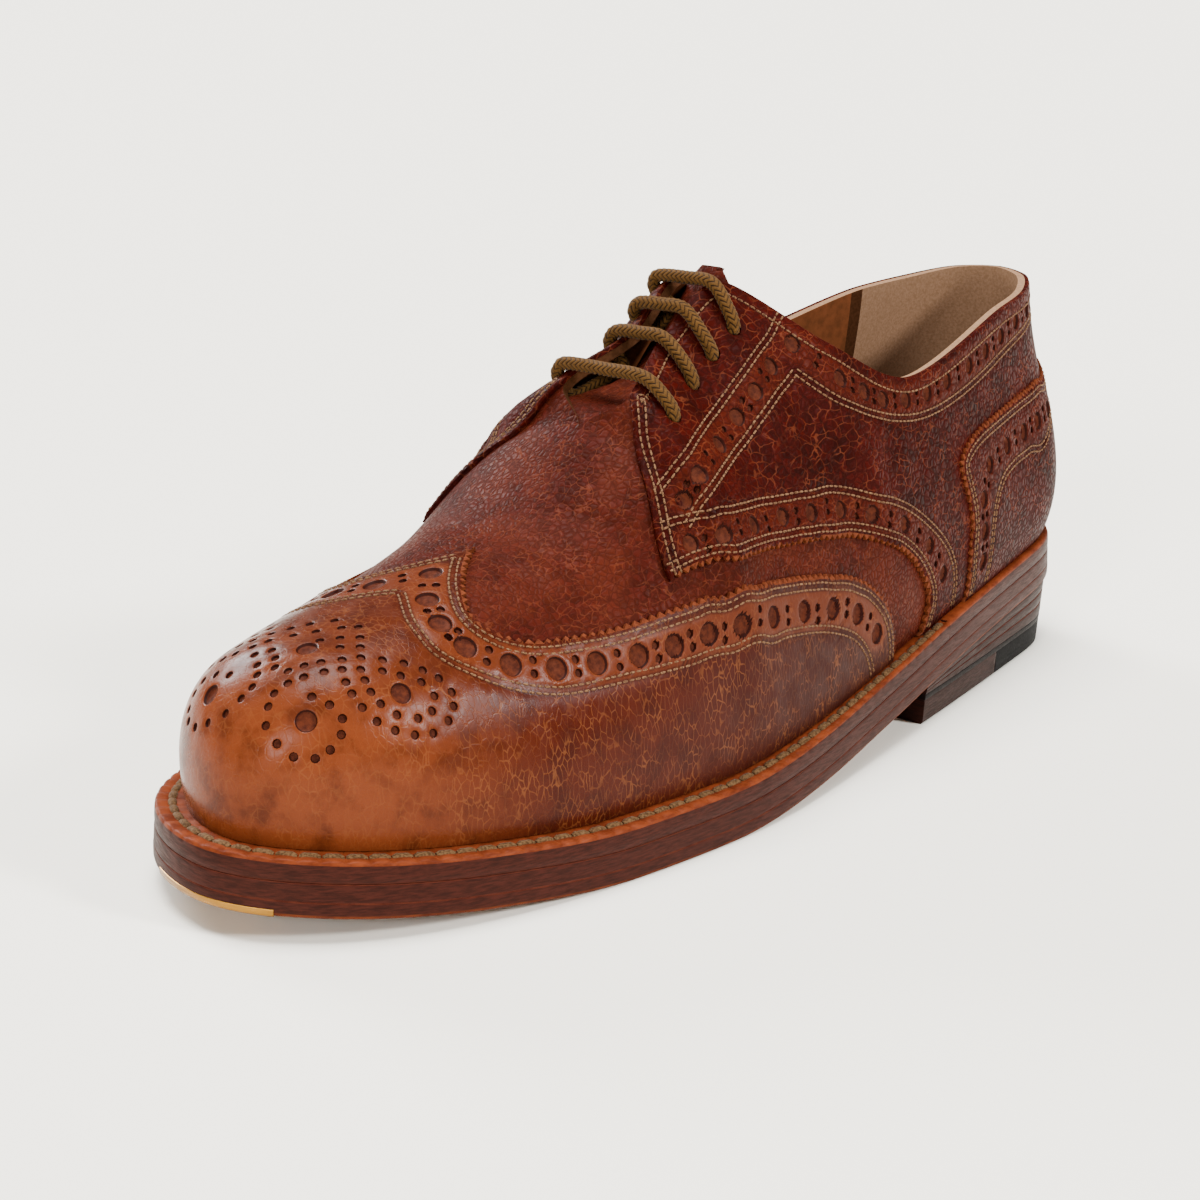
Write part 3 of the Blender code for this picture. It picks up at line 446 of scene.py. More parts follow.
# %% The last laid flat
def unroll(side, share, up):
    """The surface laid flat: top line point plus the girth below it, in the section's heading."""
    share, up = np.asarray(share, float), np.asarray(up, float)
    path = [section(side, share, up + (1 - up) * k / 16) for k in range(17)]
    girth = sum(np.linalg.norm(b - a, axis=-1) for a, b in zip(path, path[1:]))
    turn = np.radians(column(side, "heading", share))
    way = np.stack((np.sin(turn), side * np.cos(turn)), axis=-1)
    top = np.stack((column(side, "top_station", share), side * column(side, "top", share)), axis=-1)
    return top + way * girth[..., None]


def by_side(marks, work):
    """Apply a surface function to marks of side, share and up."""
    marks = np.asarray(marks, float)
    made = None
    for side in (OUTER, INNER):
        mine = marks[:, 0] == side
        if mine.any():
            values = work(side, marks[mine, 1], marks[mine, 2])
            made = np.zeros((len(marks), values.shape[1])) if made is None else made
            made[mine] = values
    return made


def cross_flat(a, b):
    return a[:, 0] * b[:, 1] - a[:, 1] * b[:, 0]


# %% Charts between the flat pattern and the last
LINE_STEP = 0.6                              # millimetres between the spots of a drawn line


class Chart:
    """A part of the last laid flat."""

    def __init__(self, sides, first, last):
        along = np.linspace(first, last, int(round((last - first) / 0.004)) + 1)
        up = np.linspace(0.0, 1.0, 45)
        a, v = (m.ravel() for m in np.meshgrid(along, up, indexing="ij"))
        n = len(up)
        corner = (np.arange(len(along) - 1)[:, None] * n + np.arange(n - 1)[None]).ravel()
        far = corner + n + 1
        half = np.vstack((np.c_[corner, corner + n, far], np.c_[corner, far, corner + 1]))
        self.faces = np.vstack([half + k * len(a) for k in range(len(sides))])
        self.known = np.vstack([np.c_[np.full_like(a, side), a, v] for side in sides])
        self.spots = by_side(self.known, unroll)
        flat = np.c_[self.spots, 0 * self.spots[:, 0]]
        self.tree = BVHTree.FromPolygons(flat.tolist(), self.faces.tolist(), all_triangles=True)

    def marks(self, spots):
        """Side, share and up under flat spots."""
        hits = [self.tree.find_nearest((x, y, 0.0)) for x, y in np.asarray(spots, float)]
        face = self.faces[[hit[2] for hit in hits]]
        at = np.array([hit[0][:2] for hit in hits])
        a, b, c = (self.spots[face[:, k]] for k in range(3))
        span = cross_flat(b - a, c - a)
        span = np.where(np.abs(span) < 1e-9, 1e-9, span)
        wb = np.clip(cross_flat(at - a, c - a) / span, 0, 1)
        wc = np.clip(cross_flat(b - a, at - a) / span, 0, 1)
        wa = np.clip(1 - wb - wc, 0, 1)
        known = self.known[face]
        mixed = wa[:, None] * known[:, 0] + wb[:, None] * known[:, 1] + wc[:, None] * known[:, 2]
        mixed[:, 0] = known[:, 0, 0]
        mixed[:, 1:] /= (wa + wb + wc)[:, None]
        return mixed

    def place(self, spots, lift):
        """Points over flat spots, at a distance from the last."""
        marks = self.marks(spots)
        if np.isscalar(lift) and lift == 0:
            return by_side(marks, section)
        lift = np.zeros(len(marks)) + lift
        return by_side(marks, section) + by_side(marks, facing_out) * lift[:, None]

    def metric(self, spots):
        """How the flat pattern is stretched at the spots: millimetres on the last for flat moves."""
        step = 0.4
        moves = np.array(((step, 0), (0, step)))
        dx, dy = ((self.place(spots + d, 0) - self.place(spots - d, 0)) / (2 * step) for d in moves)
        xx, xy, yy = ((a * b).sum(axis=1) for a, b in ((dx, dx), (dx, dy), (dy, dy)))
        return np.stack((xx + 1e-3, xy, xy, yy + 1e-3), axis=1).reshape(-1, 2, 2)

    def aside(self, line, distance):
        """The line moved sideways by millimetres on the last, to the left of its run."""
        run = np.gradient(line, axis=0)
        left = np.stack((-run[:, 1], run[:, 0]), axis=1)
        metric = self.metric(line)
        across = np.linalg.solve(metric, left[..., None])[..., 0]
        size = np.sqrt(np.einsum("ki,kij,kj->k", across, metric, across))
        return line + across / size[:, None] * (np.zeros(len(line)) + distance)[:, None]

    def line(self, side, table):
        """A rounded line through share and up pairs, as flat spots an even step apart on the last."""
        table = np.array(table, float)
        fine = rounded(unroll(side, table[:, 0], table[:, 1]), LINE_STEP)
        return self.even(fine, LINE_STEP)

    def even(self, fine, step):
        """The same line with spots an even step apart on the last."""
        solid = self.place(fine, 0)
        length = run_lengths(solid)
        at = np.linspace(0, length[-1], max(1, int(round(length[-1] / step))) + 1)
        return along_line(fine, length, at)


front_chart = Chart((OUTER, INNER), 0.33, 1.0)
heel_chart = Chart((OUTER, INNER), 0.0, 0.32)
quarter_chart = {side: Chart((side,), 0.0, 0.68) for side in (OUTER, INNER)}
print("flat spots known:", len(front_chart.spots), len(heel_chart.spots), len(quarter_chart[OUTER].spots))


# %% Meshes that ride on the shoe
SHARP_FROM = 52.0                            # degrees; steeper folds are drawn as crisp edges
WELD = 2e-6                                  # metres; points nearer than this are one point


def make_piece(name, points, faces, materials, picks=None, layers=None, joined=False, replaces=()):
    """A closed mesh from points in the shoe's sizes; it rides on the root and may replace nodes."""
    mesh = bpy.data.meshes.new(name)
    mesh.from_pydata(metres(points).tolist(), [], [list(map(int, f)) for f in faces])
    for material in materials:
        mesh.materials.append(material)
    if picks is not None:
        mesh.polygons.foreach_set("material_index", np.asarray(picks, np.int32))
    for label, values in (layers or {}).items():
        layer = mesh.attributes.new(label, "FLOAT", "POINT")
        layer.data.foreach_set("value", np.asarray(values, np.float32))
    mesh.polygons.foreach_set("use_smooth", np.ones(len(mesh.polygons), bool))
    mesh.set_sharp_from_angle(angle=math.radians(SHARP_FROM))
    if joined:
        work = bmesh.new()
        work.from_mesh(mesh)
        bmesh.ops.remove_doubles(work, verts=work.verts, dist=WELD)
        bmesh.ops.dissolve_degenerate(work, edges=work.edges, dist=WELD)
        bmesh.ops.recalc_face_normals(work, faces=work.faces)
        work.to_mesh(mesh)
        work.free()
    mesh.validate()
    made = bpy.data.objects.new(name, mesh)
    bpy.context.scene.collection.objects.link(made)
    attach(made, "root")
    if replaces:
        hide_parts(*replaces)
    count = sum(len(p.vertices) - 2 for p in mesh.polygons)
    print(name, count, "triangles")
    return made


def between_rings(count, size):
    """Quads between closed rings of points that follow each other."""
    return [(k * size + i, k * size + (i + 1) % size, (k + 1) * size + (i + 1) % size, (k + 1) * size + i)
            for k in range(count - 1) for i in range(size)]


# %% [markdown]
# ## Leathers and threads
# The quarters and the vamp are shrunken grain calf: the hide is shrunk in the tanning drum until its
# grain stands up in pebbles of one and a half to two millimetres. Dark dye sits on the pebbles, and the
# veins between them stay paler. The wing cap is the same hide ironed smoother and burnished to cognac.
# The patterns could be painted as pictures, but noise and cells in real millimetres need no file and fit
# every piece. The bright paper is mirrored in all of them, so gloss is set low to keep them dark.


# %% Pattern space and mixing
def in_steps(tree, size, stretch=(1.0, 1.0, 1.0)):
    """The shoe's own coordinates counted in steps of a size in millimetres."""
    place = add(tree, "ShaderNodeTexCoord")
    scale = tuple(1000.0 / size / s for s in stretch)
    return add(tree, "ShaderNodeMapping", Vector=place.outputs["Object"], Scale=scale).outputs[0]


def spread(tree, value, low, high, to_low=0.0, to_high=1.0):
    """A value moved from one range to another, held at both ends."""
    made = add(tree, "ShaderNodeMapRange", {"interpolation_type": "SMOOTHSTEP"}, Value=value)
    for name, number in zip(("From Min", "From Max", "To Min", "To Max"), (low, high, to_low, to_high)):
        made.inputs[name].default_value = number
    return made.outputs[0]


def blend(tree, share, first, second):
    """A mix of two colours; each is a hex value or another node's output."""
    first, second = (linear(c) if isinstance(c, str) else c for c in (first, second))
    made = add(tree, "ShaderNodeMix", {"data_type": "RGBA"}, i0=share, i6=first, i7=second)
    return made.outputs[2]


def noise(tree, size, detail=3.0, stretch=(1.0, 1.0, 1.0), rough=0.55):
    """Soft noise whose blotches have a size in millimetres."""
    made = add(tree, "ShaderNodeTexNoise", Vector=in_steps(tree, size, stretch), Scale=1.0, Detail=detail,
               Roughness=rough)
    return made.outputs[0]


def times(tree, first, second, operation="MULTIPLY"):
    return add(tree, "ShaderNodeMath", {"operation": operation}, i0=first, i1=second).outputs[0]


def finish_leather(tree, shader, colour, rough, height, depth, strength, gloss=0.045):
    """Colour, gloss and relief of a leather; depth is the height of its relief in millimetres."""
    tree.links.new(colour, shader.inputs["Base Color"])
    tree.links.new(rough, shader.inputs["Roughness"])
    relief = add(tree, "ShaderNodeBump", Height=height, Distance=depth * MM, Strength=strength)
    tree.links.new(relief.outputs[0], shader.inputs["Normal"])
    shader.inputs["IOR"].default_value = 1.5
    shader.inputs["Specular IOR Level"].default_value = gloss


def layer_value(tree, label):
    return add(tree, "ShaderNodeAttribute", {"attribute_name": label}).outputs["Fac"]


# %% Grained and smooth calf
VAMP_PEBBLE, QUARTER_PEBBLE = 1.5, 1.8       # millimetres across one pebble of the grain


def grained_calf(name, pebble, deep, base, pale, crease, crease_share, strip):
    """Pebbled hide: tops of uneven tone, pale creases between them, painted shade in the valley round each
    pebble, redder where it is cut into strips.
    """
    made, tree, shader = new_material(name)
    sway = add(tree, "ShaderNodeTexNoise", Vector=in_steps(tree, pebble * 2.0), Scale=1.0, Detail=2.0)
    bent = add(tree, "ShaderNodeVectorMath", {"operation": "MULTIPLY_ADD"}, i0=sway.outputs[1],
               i1=(0.9, 0.9, 0.9), i2=in_steps(tree, pebble)).outputs[0]
    cells = add(tree, "ShaderNodeTexVoronoi", Vector=bent, Scale=1.0)
    edges = add(tree, "ShaderNodeTexVoronoi", {"feature": "DISTANCE_TO_EDGE"}, Vector=bent, Scale=1.0)
    tone = add(tree, "ShaderNodeSeparateColor", Color=cells.outputs["Color"]).outputs[0]
    wide = add(tree, "ShaderNodeVectorMath", {"operation": "MULTIPLY_ADD"}, i0=sway.outputs[1],
               i1=(0.9, 0.9, 0.9), i2=in_steps(tree, pebble * 1.35, (1.5, 1.0, 1.0))).outputs[0]
    veins = add(tree, "ShaderNodeTexVoronoi", {"feature": "DISTANCE_TO_EDGE"}, Vector=wide, Scale=1.0)
    patch = spread(tree, noise(tree, 15.0), 0.36, 0.70)
    colour = blend(tree, spread(tree, tone, 0.0, 1.0), deep, base)
    colour = blend(tree, times(tree, patch, 0.6), colour, pale)
    colour = blend(tree, times(tree, layer_value(tree, "band"), 0.7), colour, strip)
    # painted shade: the valley round each pebble is darkened towards the deep colour
    valley_shade = spread(tree, edges.outputs["Distance"], 0.0, 0.12, 0.55, 0.0)
    colour = blend(tree, valley_shade, colour, deep)
    thin = spread(tree, veins.outputs["Distance"], 0.010, 0.055, 1.0, 0.0)
    broken = times(tree, thin, spread(tree, noise(tree, 5.0), 0.36, 0.66, 0.10, 1.0))
    colour = blend(tree, times(tree, broken, crease_share), colour, crease)
    # painted shade: darker along the rows of stitches, in their grooves and needle holes
    colour = blend(tree, times(tree, layer_value(tree, "seam"), 0.7), colour, deep)
    dome = spread(tree, edges.outputs["Distance"], 0.0, 0.30)
    pores = times(tree, noise(tree, 0.45), 0.22)
    height = times(tree, dome, pores, "ADD")
    rough = spread(tree, dome, 0.0, 1.0, 0.58, 0.38)
    finish_leather(tree, shader, colour, rough, height, 0.085 * pebble, 0.7, gloss=0.022)
    return made


def smooth_calf(name, toe, side, dark, pale):
    """Ironed hide, burnished: cognac at the toe, redder and darker towards the back of the wings, painted
    shade on its top, with fine crackle across.
    """
    made, tree, shader = new_material(name)
    place = add(tree, "ShaderNodeTexCoord").outputs["Object"]
    along, _, high = add(tree, "ShaderNodeSeparateXYZ", Vector=place).outputs
    back = spread(tree, along, -0.132, -0.082)
    colour = blend(tree, back, toe, side)
    colour = blend(tree, spread(tree, along, -0.075, 0.010, 0.0, 0.80), colour, dark)
    # painted shade: the cap is darkened above 38 mm of height, so that its top does not look too bright
    colour = blend(tree, spread(tree, high, 0.038, 0.056, 0.0, 0.42), colour, dark)
    patch = spread(tree, noise(tree, 7.0, 5.0), 0.42, 0.70)
    colour = blend(tree, times(tree, patch, 0.58), colour, dark)
    sway = add(tree, "ShaderNodeTexNoise", Vector=in_steps(tree, 3.0), Scale=1.0, Detail=2.0)
    bent = add(tree, "ShaderNodeVectorMath", {"operation": "MULTIPLY_ADD"}, i0=sway.outputs[1],
               i1=(0.8, 0.8, 0.8), i2=in_steps(tree, 1.3, (1.0, 1.5, 2.2))).outputs[0]
    cracks = add(tree, "ShaderNodeTexVoronoi", {"feature": "DISTANCE_TO_EDGE"}, Vector=bent, Scale=1.0)
    thin = spread(tree, cracks.outputs["Distance"], 0.015, 0.08, 1.0, 0.0)
    broken = times(tree, thin, spread(tree, noise(tree, 6.0), 0.36, 0.68, 0.15, 1.0))
    shown = times(tree, broken, spread(tree, back, 0.0, 1.0, 0.26, 0.42))
    colour = blend(tree, shown, colour, pale)
    colour = blend(tree, times(tree, layer_value(tree, "band"), 0.45), colour, toe)
    # painted shade: darker along the rows of stitches, in their grooves and needle holes
    colour = blend(tree, times(tree, layer_value(tree, "seam"), 0.7), colour, dark)
    fine = noise(tree, 0.5, 4.0)
    height = times(tree, times(tree, thin, -0.22), times(tree, fine, 0.35), "ADD")
    worn = spread(tree, along, -0.085, -0.020, 0.0, 0.28)
    rough = times(tree, spread(tree, noise(tree, 4.0), 0.3, 0.7, 0.22, 0.33), worn, "ADD")
    finish_leather(tree, shader, colour, rough, height, 0.10, 0.6, gloss=0.065)
    return made


def plain_leather(name, base, other, blotch, rough, depth, stretch=(1.0, 1.0, 1.0)):
    """Leather with one soft pattern: raw edges, linings, sole layers."""
    made, tree, shader = new_material(name)
    grain = noise(tree, blotch, 5.0, stretch, 0.65)
    colour = blend(tree, spread(tree, grain, 0.30, 0.70), base, other)
    gloss = spread(tree, grain, 0.3, 0.7, rough - 0.06, rough + 0.06)
    finish_leather(tree, shader, colour, gloss, grain, depth, 0.5)
    return made


# %% Leathers of the upper
# Polished pebbles, wine red: small soft glints on dark tops with pale veins between them.
grain_calf = grained_calf("shrunken_grain_calf_polished", QUARTER_PEBBLE, "#1c0402", "#2d0603", "#3b0b06",
                          "#6e3620", 0.42, "#3d1208")
# The same hide drawn tight over the last: finer, browner and more even.
vamp_calf = grained_calf("shrunken_grain_calf_drawn_over", VAMP_PEBBLE, "#2a0b05", "#3a110a", "#4b1d10",
                         "#6a3520", 0.35, "#46170a")
# Burnished calf: a clear shine that shows the toe's roundness, tan in front and dark towards the wings; its
# top is darker, painted shade.
cap_calf = smooth_calf("cognac_calf_burnished", "#642e16", "#3d1409", "#280a05", "#7c4826")
# Cut edges lose the dye: a matt, paler line of teeth.
raw_edge = plain_leather("pinked_edge_raw_cut", "#63301a", "#431c0d", 0.9, 0.75, 0.10)
# Through a punched hole the layer below shows; its wall is painted near black, painted shade that makes it
# look deep.
hole_floor = plain_leather("punched_hole_floor_undyed", "#4a2010", "#30120a", 1.2, 0.6, 0.08)
hole_wall_shade = plain_leather("punched_hole_wall_painted_shade", "#1c0603", "#280b05", 0.8, 0.6, 0.05)
# Linings: smooth tan calf with a faint shine, dull soft suede at the heel, and a darker trimmed edge.
lining_tan = plain_leather("lining_calf_natural_tan", "#693b22", "#54301a", 3.0, 0.55, 0.06)
lining_suede = plain_leather("heel_lining_napped_suede", "#886951", "#755840", 0.7, 0.92, 0.12)
lining_edge = plain_leather("lining_edge_raw_trimmed", "#3f2413", "#301909", 0.8, 0.8, 0.08)
# Bare board: mid tan, a little cloudy.
insole_tan = plain_leather("insole_oak_bark_leather", "#5c3e24", "#4a2f19", 4.0, 0.62, 0.05)

# %% Leathers of the sole and heel
# Waxed strip: warm brown, rubbed brighter along its run.
welt_wax = plain_leather("welt_leather_waxed", "#6b3017", "#4a1c0b", 1.8, 0.48, 0.10, (2.5, 2.5, 0.7))
# Edges are dyed and ironed with wax: dark, satin, with the fibre's streaks along the sole.
edge_dyed = plain_leather("sole_leather_edge_dyed", "#3a1912", "#25100b", 0.9, 0.46, 0.12, (4.0, 4.0, 0.5))
edge_line_pale = plain_leather("sole_layer_line_bare", "#4a2115", "#35130b", 1.0, 0.6, 0.06,
                               (3.0, 3.0, 0.5))
edge_low = plain_leather("sole_corner_rubbed", "#5a2a14", "#3f190b", 1.4, 0.55, 0.08, (3.0, 3.0, 1.0))
# The tread is only buffed: bare, matt tan.
sole_bare = plain_leather("outsole_leather_buffed", "#6b4526", "#55341c", 6.0, 0.6, 0.05)
# Heel lifts are dyed darker than the sole, with a blackened band just over the top lift.
heel_dyed = plain_leather("heel_lift_edge_dyed", "#2b120d", "#1b0c08", 0.9, 0.46, 0.12, (4.0, 4.0, 0.5))
heel_black = plain_leather("heel_lift_blackened", "#140d0c", "#0d0808", 1.0, 0.5, 0.06)
# Moulded rubber: black and dull, with the mould's fine roughness.
tread_rubber = plain_leather("heel_rubber_moulded", "#0f0e0f", "#0a090a", 0.8, 0.62, 0.05)
print("materials:", len(bpy.data.materials))


# %% Brass, thread and braid
def metal(name, base, other, rough):
    """Sheet metal rubbed one way: fine lines along the rub, dull from wear."""
    made, tree, shader = new_material(name)
    rub = noise(tree, 0.5, 4.0, (8.0, 8.0, 1.0))
    tree.links.new(blend(tree, rub, base, other), shader.inputs["Base Color"])
    tree.links.new(spread(tree, rub, 0.3, 0.7, rough - 0.07, rough + 0.1), shader.inputs["Roughness"])
    shader.inputs["Metallic"].default_value = 1.0
    return made


def twisted(name, base, other, strand, rough, woven=False):
    """Thread: dark in the twist and pale on the strands, at random; a woven braid gets painted shade in the
    gaps between its strands; strand is the width of one in millimetres.
    """
    made, tree, shader = new_material(name)
    fibre = noise(tree, strand, 3.0)
    dark = spread(tree, fibre, 0.35, 0.65)
    if woven:
        # painted shade: darker where the braid's surface dips between its strands
        gap_shade = spread(tree, layer_value(tree, "strand"), 0.05, 0.55, 1.0, 0.0)
        dark = times(tree, gap_shade, times(tree, dark, 0.35), "MAXIMUM")
    finish_leather(tree, shader, blend(tree, dark, base, other),
                   spread(tree, fibre, 0.0, 1.0, rough, rough + 0.1), fibre, strand * 0.4, 0.5)
    shader.inputs["Sheen Weight"].default_value = 0.03
    return made


# Brass worn by walking: yellow, with fine rub lines that break its shine.
brass = metal("toe_plate_brass_rubbed", "#9a6f2e", "#75501c", 0.32)
# Waxed linen: tan thread, dark in the twist; the welt's is thicker and darker.
linen = twisted("linen_thread_waxed", "#74553b", "#43291a", 0.35, 0.6)
welt_linen = twisted("welt_thread_waxed_linen", "#5c432a", "#3a2613", 0.5, 0.6)
# Waxed cotton braid: brown strands, with painted shade in the gaps between them.
braid = twisted("lace_cotton_braid_waxed", "#523717", "#180e05", 0.6, 0.6, woven=True)

# %% [markdown]
# ## Cutting and sewing the panels
# Each panel is cut from the flat pattern: edges are pinked with a toothed wheel or folded over and
# hammered, brogue holes are punched, and two rows of stitches hold it down. In the mesh a panel is one
# closed sheet. Its net follows the teeth, the rims of the holes and the grooves under the stitches, so
# all of them are real relief. The lines of the panels are pairs of share and up. They were worked out
# outside this script, from places read off the photograph and laid on the last.

# %% Creases worn into the leather
CREASES = (                                  # side, share and up along the crease, depth, half width
    (OUTER, ((0.655, 0.985), (0.650, 0.86), (0.640, 0.74), (0.625, 0.64)), 0.30, 2.6),
    (OUTER, ((0.690, 0.99), (0.687, 0.86), (0.676, 0.74), (0.664, 0.65)), 0.26, 2.4),
    (OUTER, ((0.722, 0.97), (0.720, 0.85), (0.712, 0.74), (0.700, 0.66)), 0.18, 2.0),
    (INNER, ((0.655, 0.985), (0.648, 0.84), (0.636, 0.72)), 0.28, 2.6),
    (INNER, ((0.690, 0.99), (0.684, 0.84), (0.672, 0.72)), 0.24, 2.4),
    (OUTER, ((0.600, 0.46), (0.575, 0.36), (0.560, 0.27)), 0.16, 2.6),
    (OUTER, ((0.640, 0.50), (0.622, 0.38), (0.610, 0.27)), 0.18, 2.6),
    (OUTER, ((0.315, 0.78), (0.335, 0.66), (0.352, 0.56)), 0.22, 3.2),
    (OUTER, ((0.285, 0.80), (0.292, 0.68), (0.298, 0.58)), 0.20, 3.4),
    (INNER, ((0.315, 0.78), (0.335, 0.66), (0.352, 0.56)), 0.22, 3.2),
)


def crease_paths():
    out = []
    for side, table, depth, width in CREASES:
        line = rounded(table, 0.004)
        out.append((section(side, line[:, 0], line[:, 1]), depth, width))
    return out


CREASE_PATHS = crease_paths()


def creased(points):
    """How far the leather sinks at points on the last: a soft trough with a low ridge on both sides."""
    sink = np.zeros(len(points))
    for path, depth, width in CREASE_PATHS:
        middle, reach = path.mean(axis=0), np.ptp(path, axis=0).max() + 4 * width
        near = np.flatnonzero(np.linalg.norm(points - middle, axis=1) < reach)
        if len(near):
            gap = np.linalg.norm(points[near, None] - path[None], axis=2)
            which, gap = gap.argmin(axis=1), gap.min(axis=1)
            fade = np.sin(math.pi * np.clip(which / (len(path) - 1), 0.04, 0.96)) ** 0.7
            trough = np.exp(-(gap / width) ** 2) - 0.45 * np.exp(-((gap - 1.9 * width) / width) ** 2)
            sink[near] += depth * fade * trough
    return sink


print("creases:", len(CREASES))

# %% Spots of a panel
PINK_PITCH, PINK_DEPTH = 2.2, 1.2            # teeth of the pinking wheel
RAW_BAND = 1.25                              # cut leather inside the teeth
ROW_GAP = 0.75                               # half the distance between two rows of stitches
PLAIN, RAW, FLOOR = 0, 1, 2                  # what a spot of a panel belongs to
BIG_HOLE = (                                 # share of the radius, share of the depth, what it is
    (1.35, 0.0, PLAIN), (1.12, 0.0, PLAIN), (1.0, 0.10, PLAIN), (0.90, 0.68, FLOOR), (0.72, 0.80, FLOOR),
    (0.40, 0.95, FLOOR),
)
SMALL_HOLE = ((1.4, 0.0, PLAIN), (1.0, 0.14, PLAIN), (0.80, 0.85, FLOOR))
BIG_FROM = 1.5                               # radius from which a hole gets the fuller profile
EYELET_SIDES = 18


def inside(points, loop):
    """Which flat spots lie within a closed loop."""
    x, y = points[:, 0], points[:, 1]
    hit = np.zeros(len(points), bool)
    for (xa, ya), (xb, yb) in zip(loop, np.roll(loop, -1, 0)):
        if ya != yb:
            cross = (ya > y) != (yb > y)
            hit ^= cross & (x < (xb - xa) * (y - ya) / (yb - ya) + xa)
    return hit


def turned(loop):
    """1 when a loop runs with its inside to the left, else -1."""
    nxt = np.roll(loop, -1, 0)
    return 1 if (loop[:, 0] * nxt[:, 1] - loop[:, 1] * nxt[:, 0]).sum() > 0 else -1


class Sheet:
    """Spots of a panel in the flat, with how far each one sinks and what it belongs to."""

    def __init__(self, chart):
        self.chart = chart
        self.spots = np.zeros((0, 2))
        self.solid = np.zeros((0, 3))
        self.sink = np.zeros(0)
        self.kind = np.zeros(0, int)
        self.seam = np.zeros(0)

    def put(self, spots, sink=0.0, kind=PLAIN, seam=0.0, clear=0.0, loop=None):
        """Add spots; those too near to earlier spots, or outside a loop, are left out."""
        spots = np.asarray(spots, float)
        sink = np.zeros(len(spots)) + sink
        if loop is not None:
            keep = inside(spots, loop)
            spots, sink = spots[keep], sink[keep]
        solid = self.chart.place(spots, 0) if len(spots) else np.zeros((0, 3))
        if clear and len(self.solid) and len(spots):
            tree = KDTree(len(self.solid))
            for i, p in enumerate(self.solid):
                tree.insert(p, i)
            tree.balance()
            keep = np.array([tree.find(p)[2] > clear for p in solid])
            spots, sink, solid = spots[keep], sink[keep], solid[keep]
        self.spots = np.vstack((self.spots, spots))
        self.solid = np.vstack((self.solid, solid))
        self.sink = np.r_[self.sink, sink]
        self.kind = np.r_[self.kind, np.full(len(spots), kind)]
        self.seam = np.r_[self.seam, np.full(len(spots), seam)]
        return len(spots)


def circles(chart, spots, radius, count):
    """Rings of flat spots that lie a radius from their middles on the last."""
    lower = np.linalg.cholesky(chart.metric(spots))
    turn = np.linspace(0, 2 * math.pi, count, endpoint=False)
    ring = np.stack((np.cos(turn), np.sin(turn))) * radius
    moves = np.linalg.solve(np.swapaxes(lower, 1, 2), np.broadcast_to(ring, (len(spots), 2, count)))
    return spots[:, None] + np.swapaxes(moves, 1, 2)


def closed_edges(first, count):
    """Edges round a closed ring of spots."""
    return [(first + i, first + (i + 1) % count) for i in range(count)]


def triangles(spots, ring, keep):
    """Delaunay triangles over spots with fixed edges; keep says which middles stay."""
    found = delaunay_2d_cdt([Vector(p) for p in spots], ring, [], 0, 1e-7)
    made = np.array(found[2])
    source = np.array([origin[0] if origin else -1 for origin in found[3]])
    made = source[made[(source[made] >= 0).all(axis=1)]]
    return made[keep(spots[made].mean(axis=1))]


# %% Panel cutter
NET = 1.9                                    # millimetres between spots of plain leather


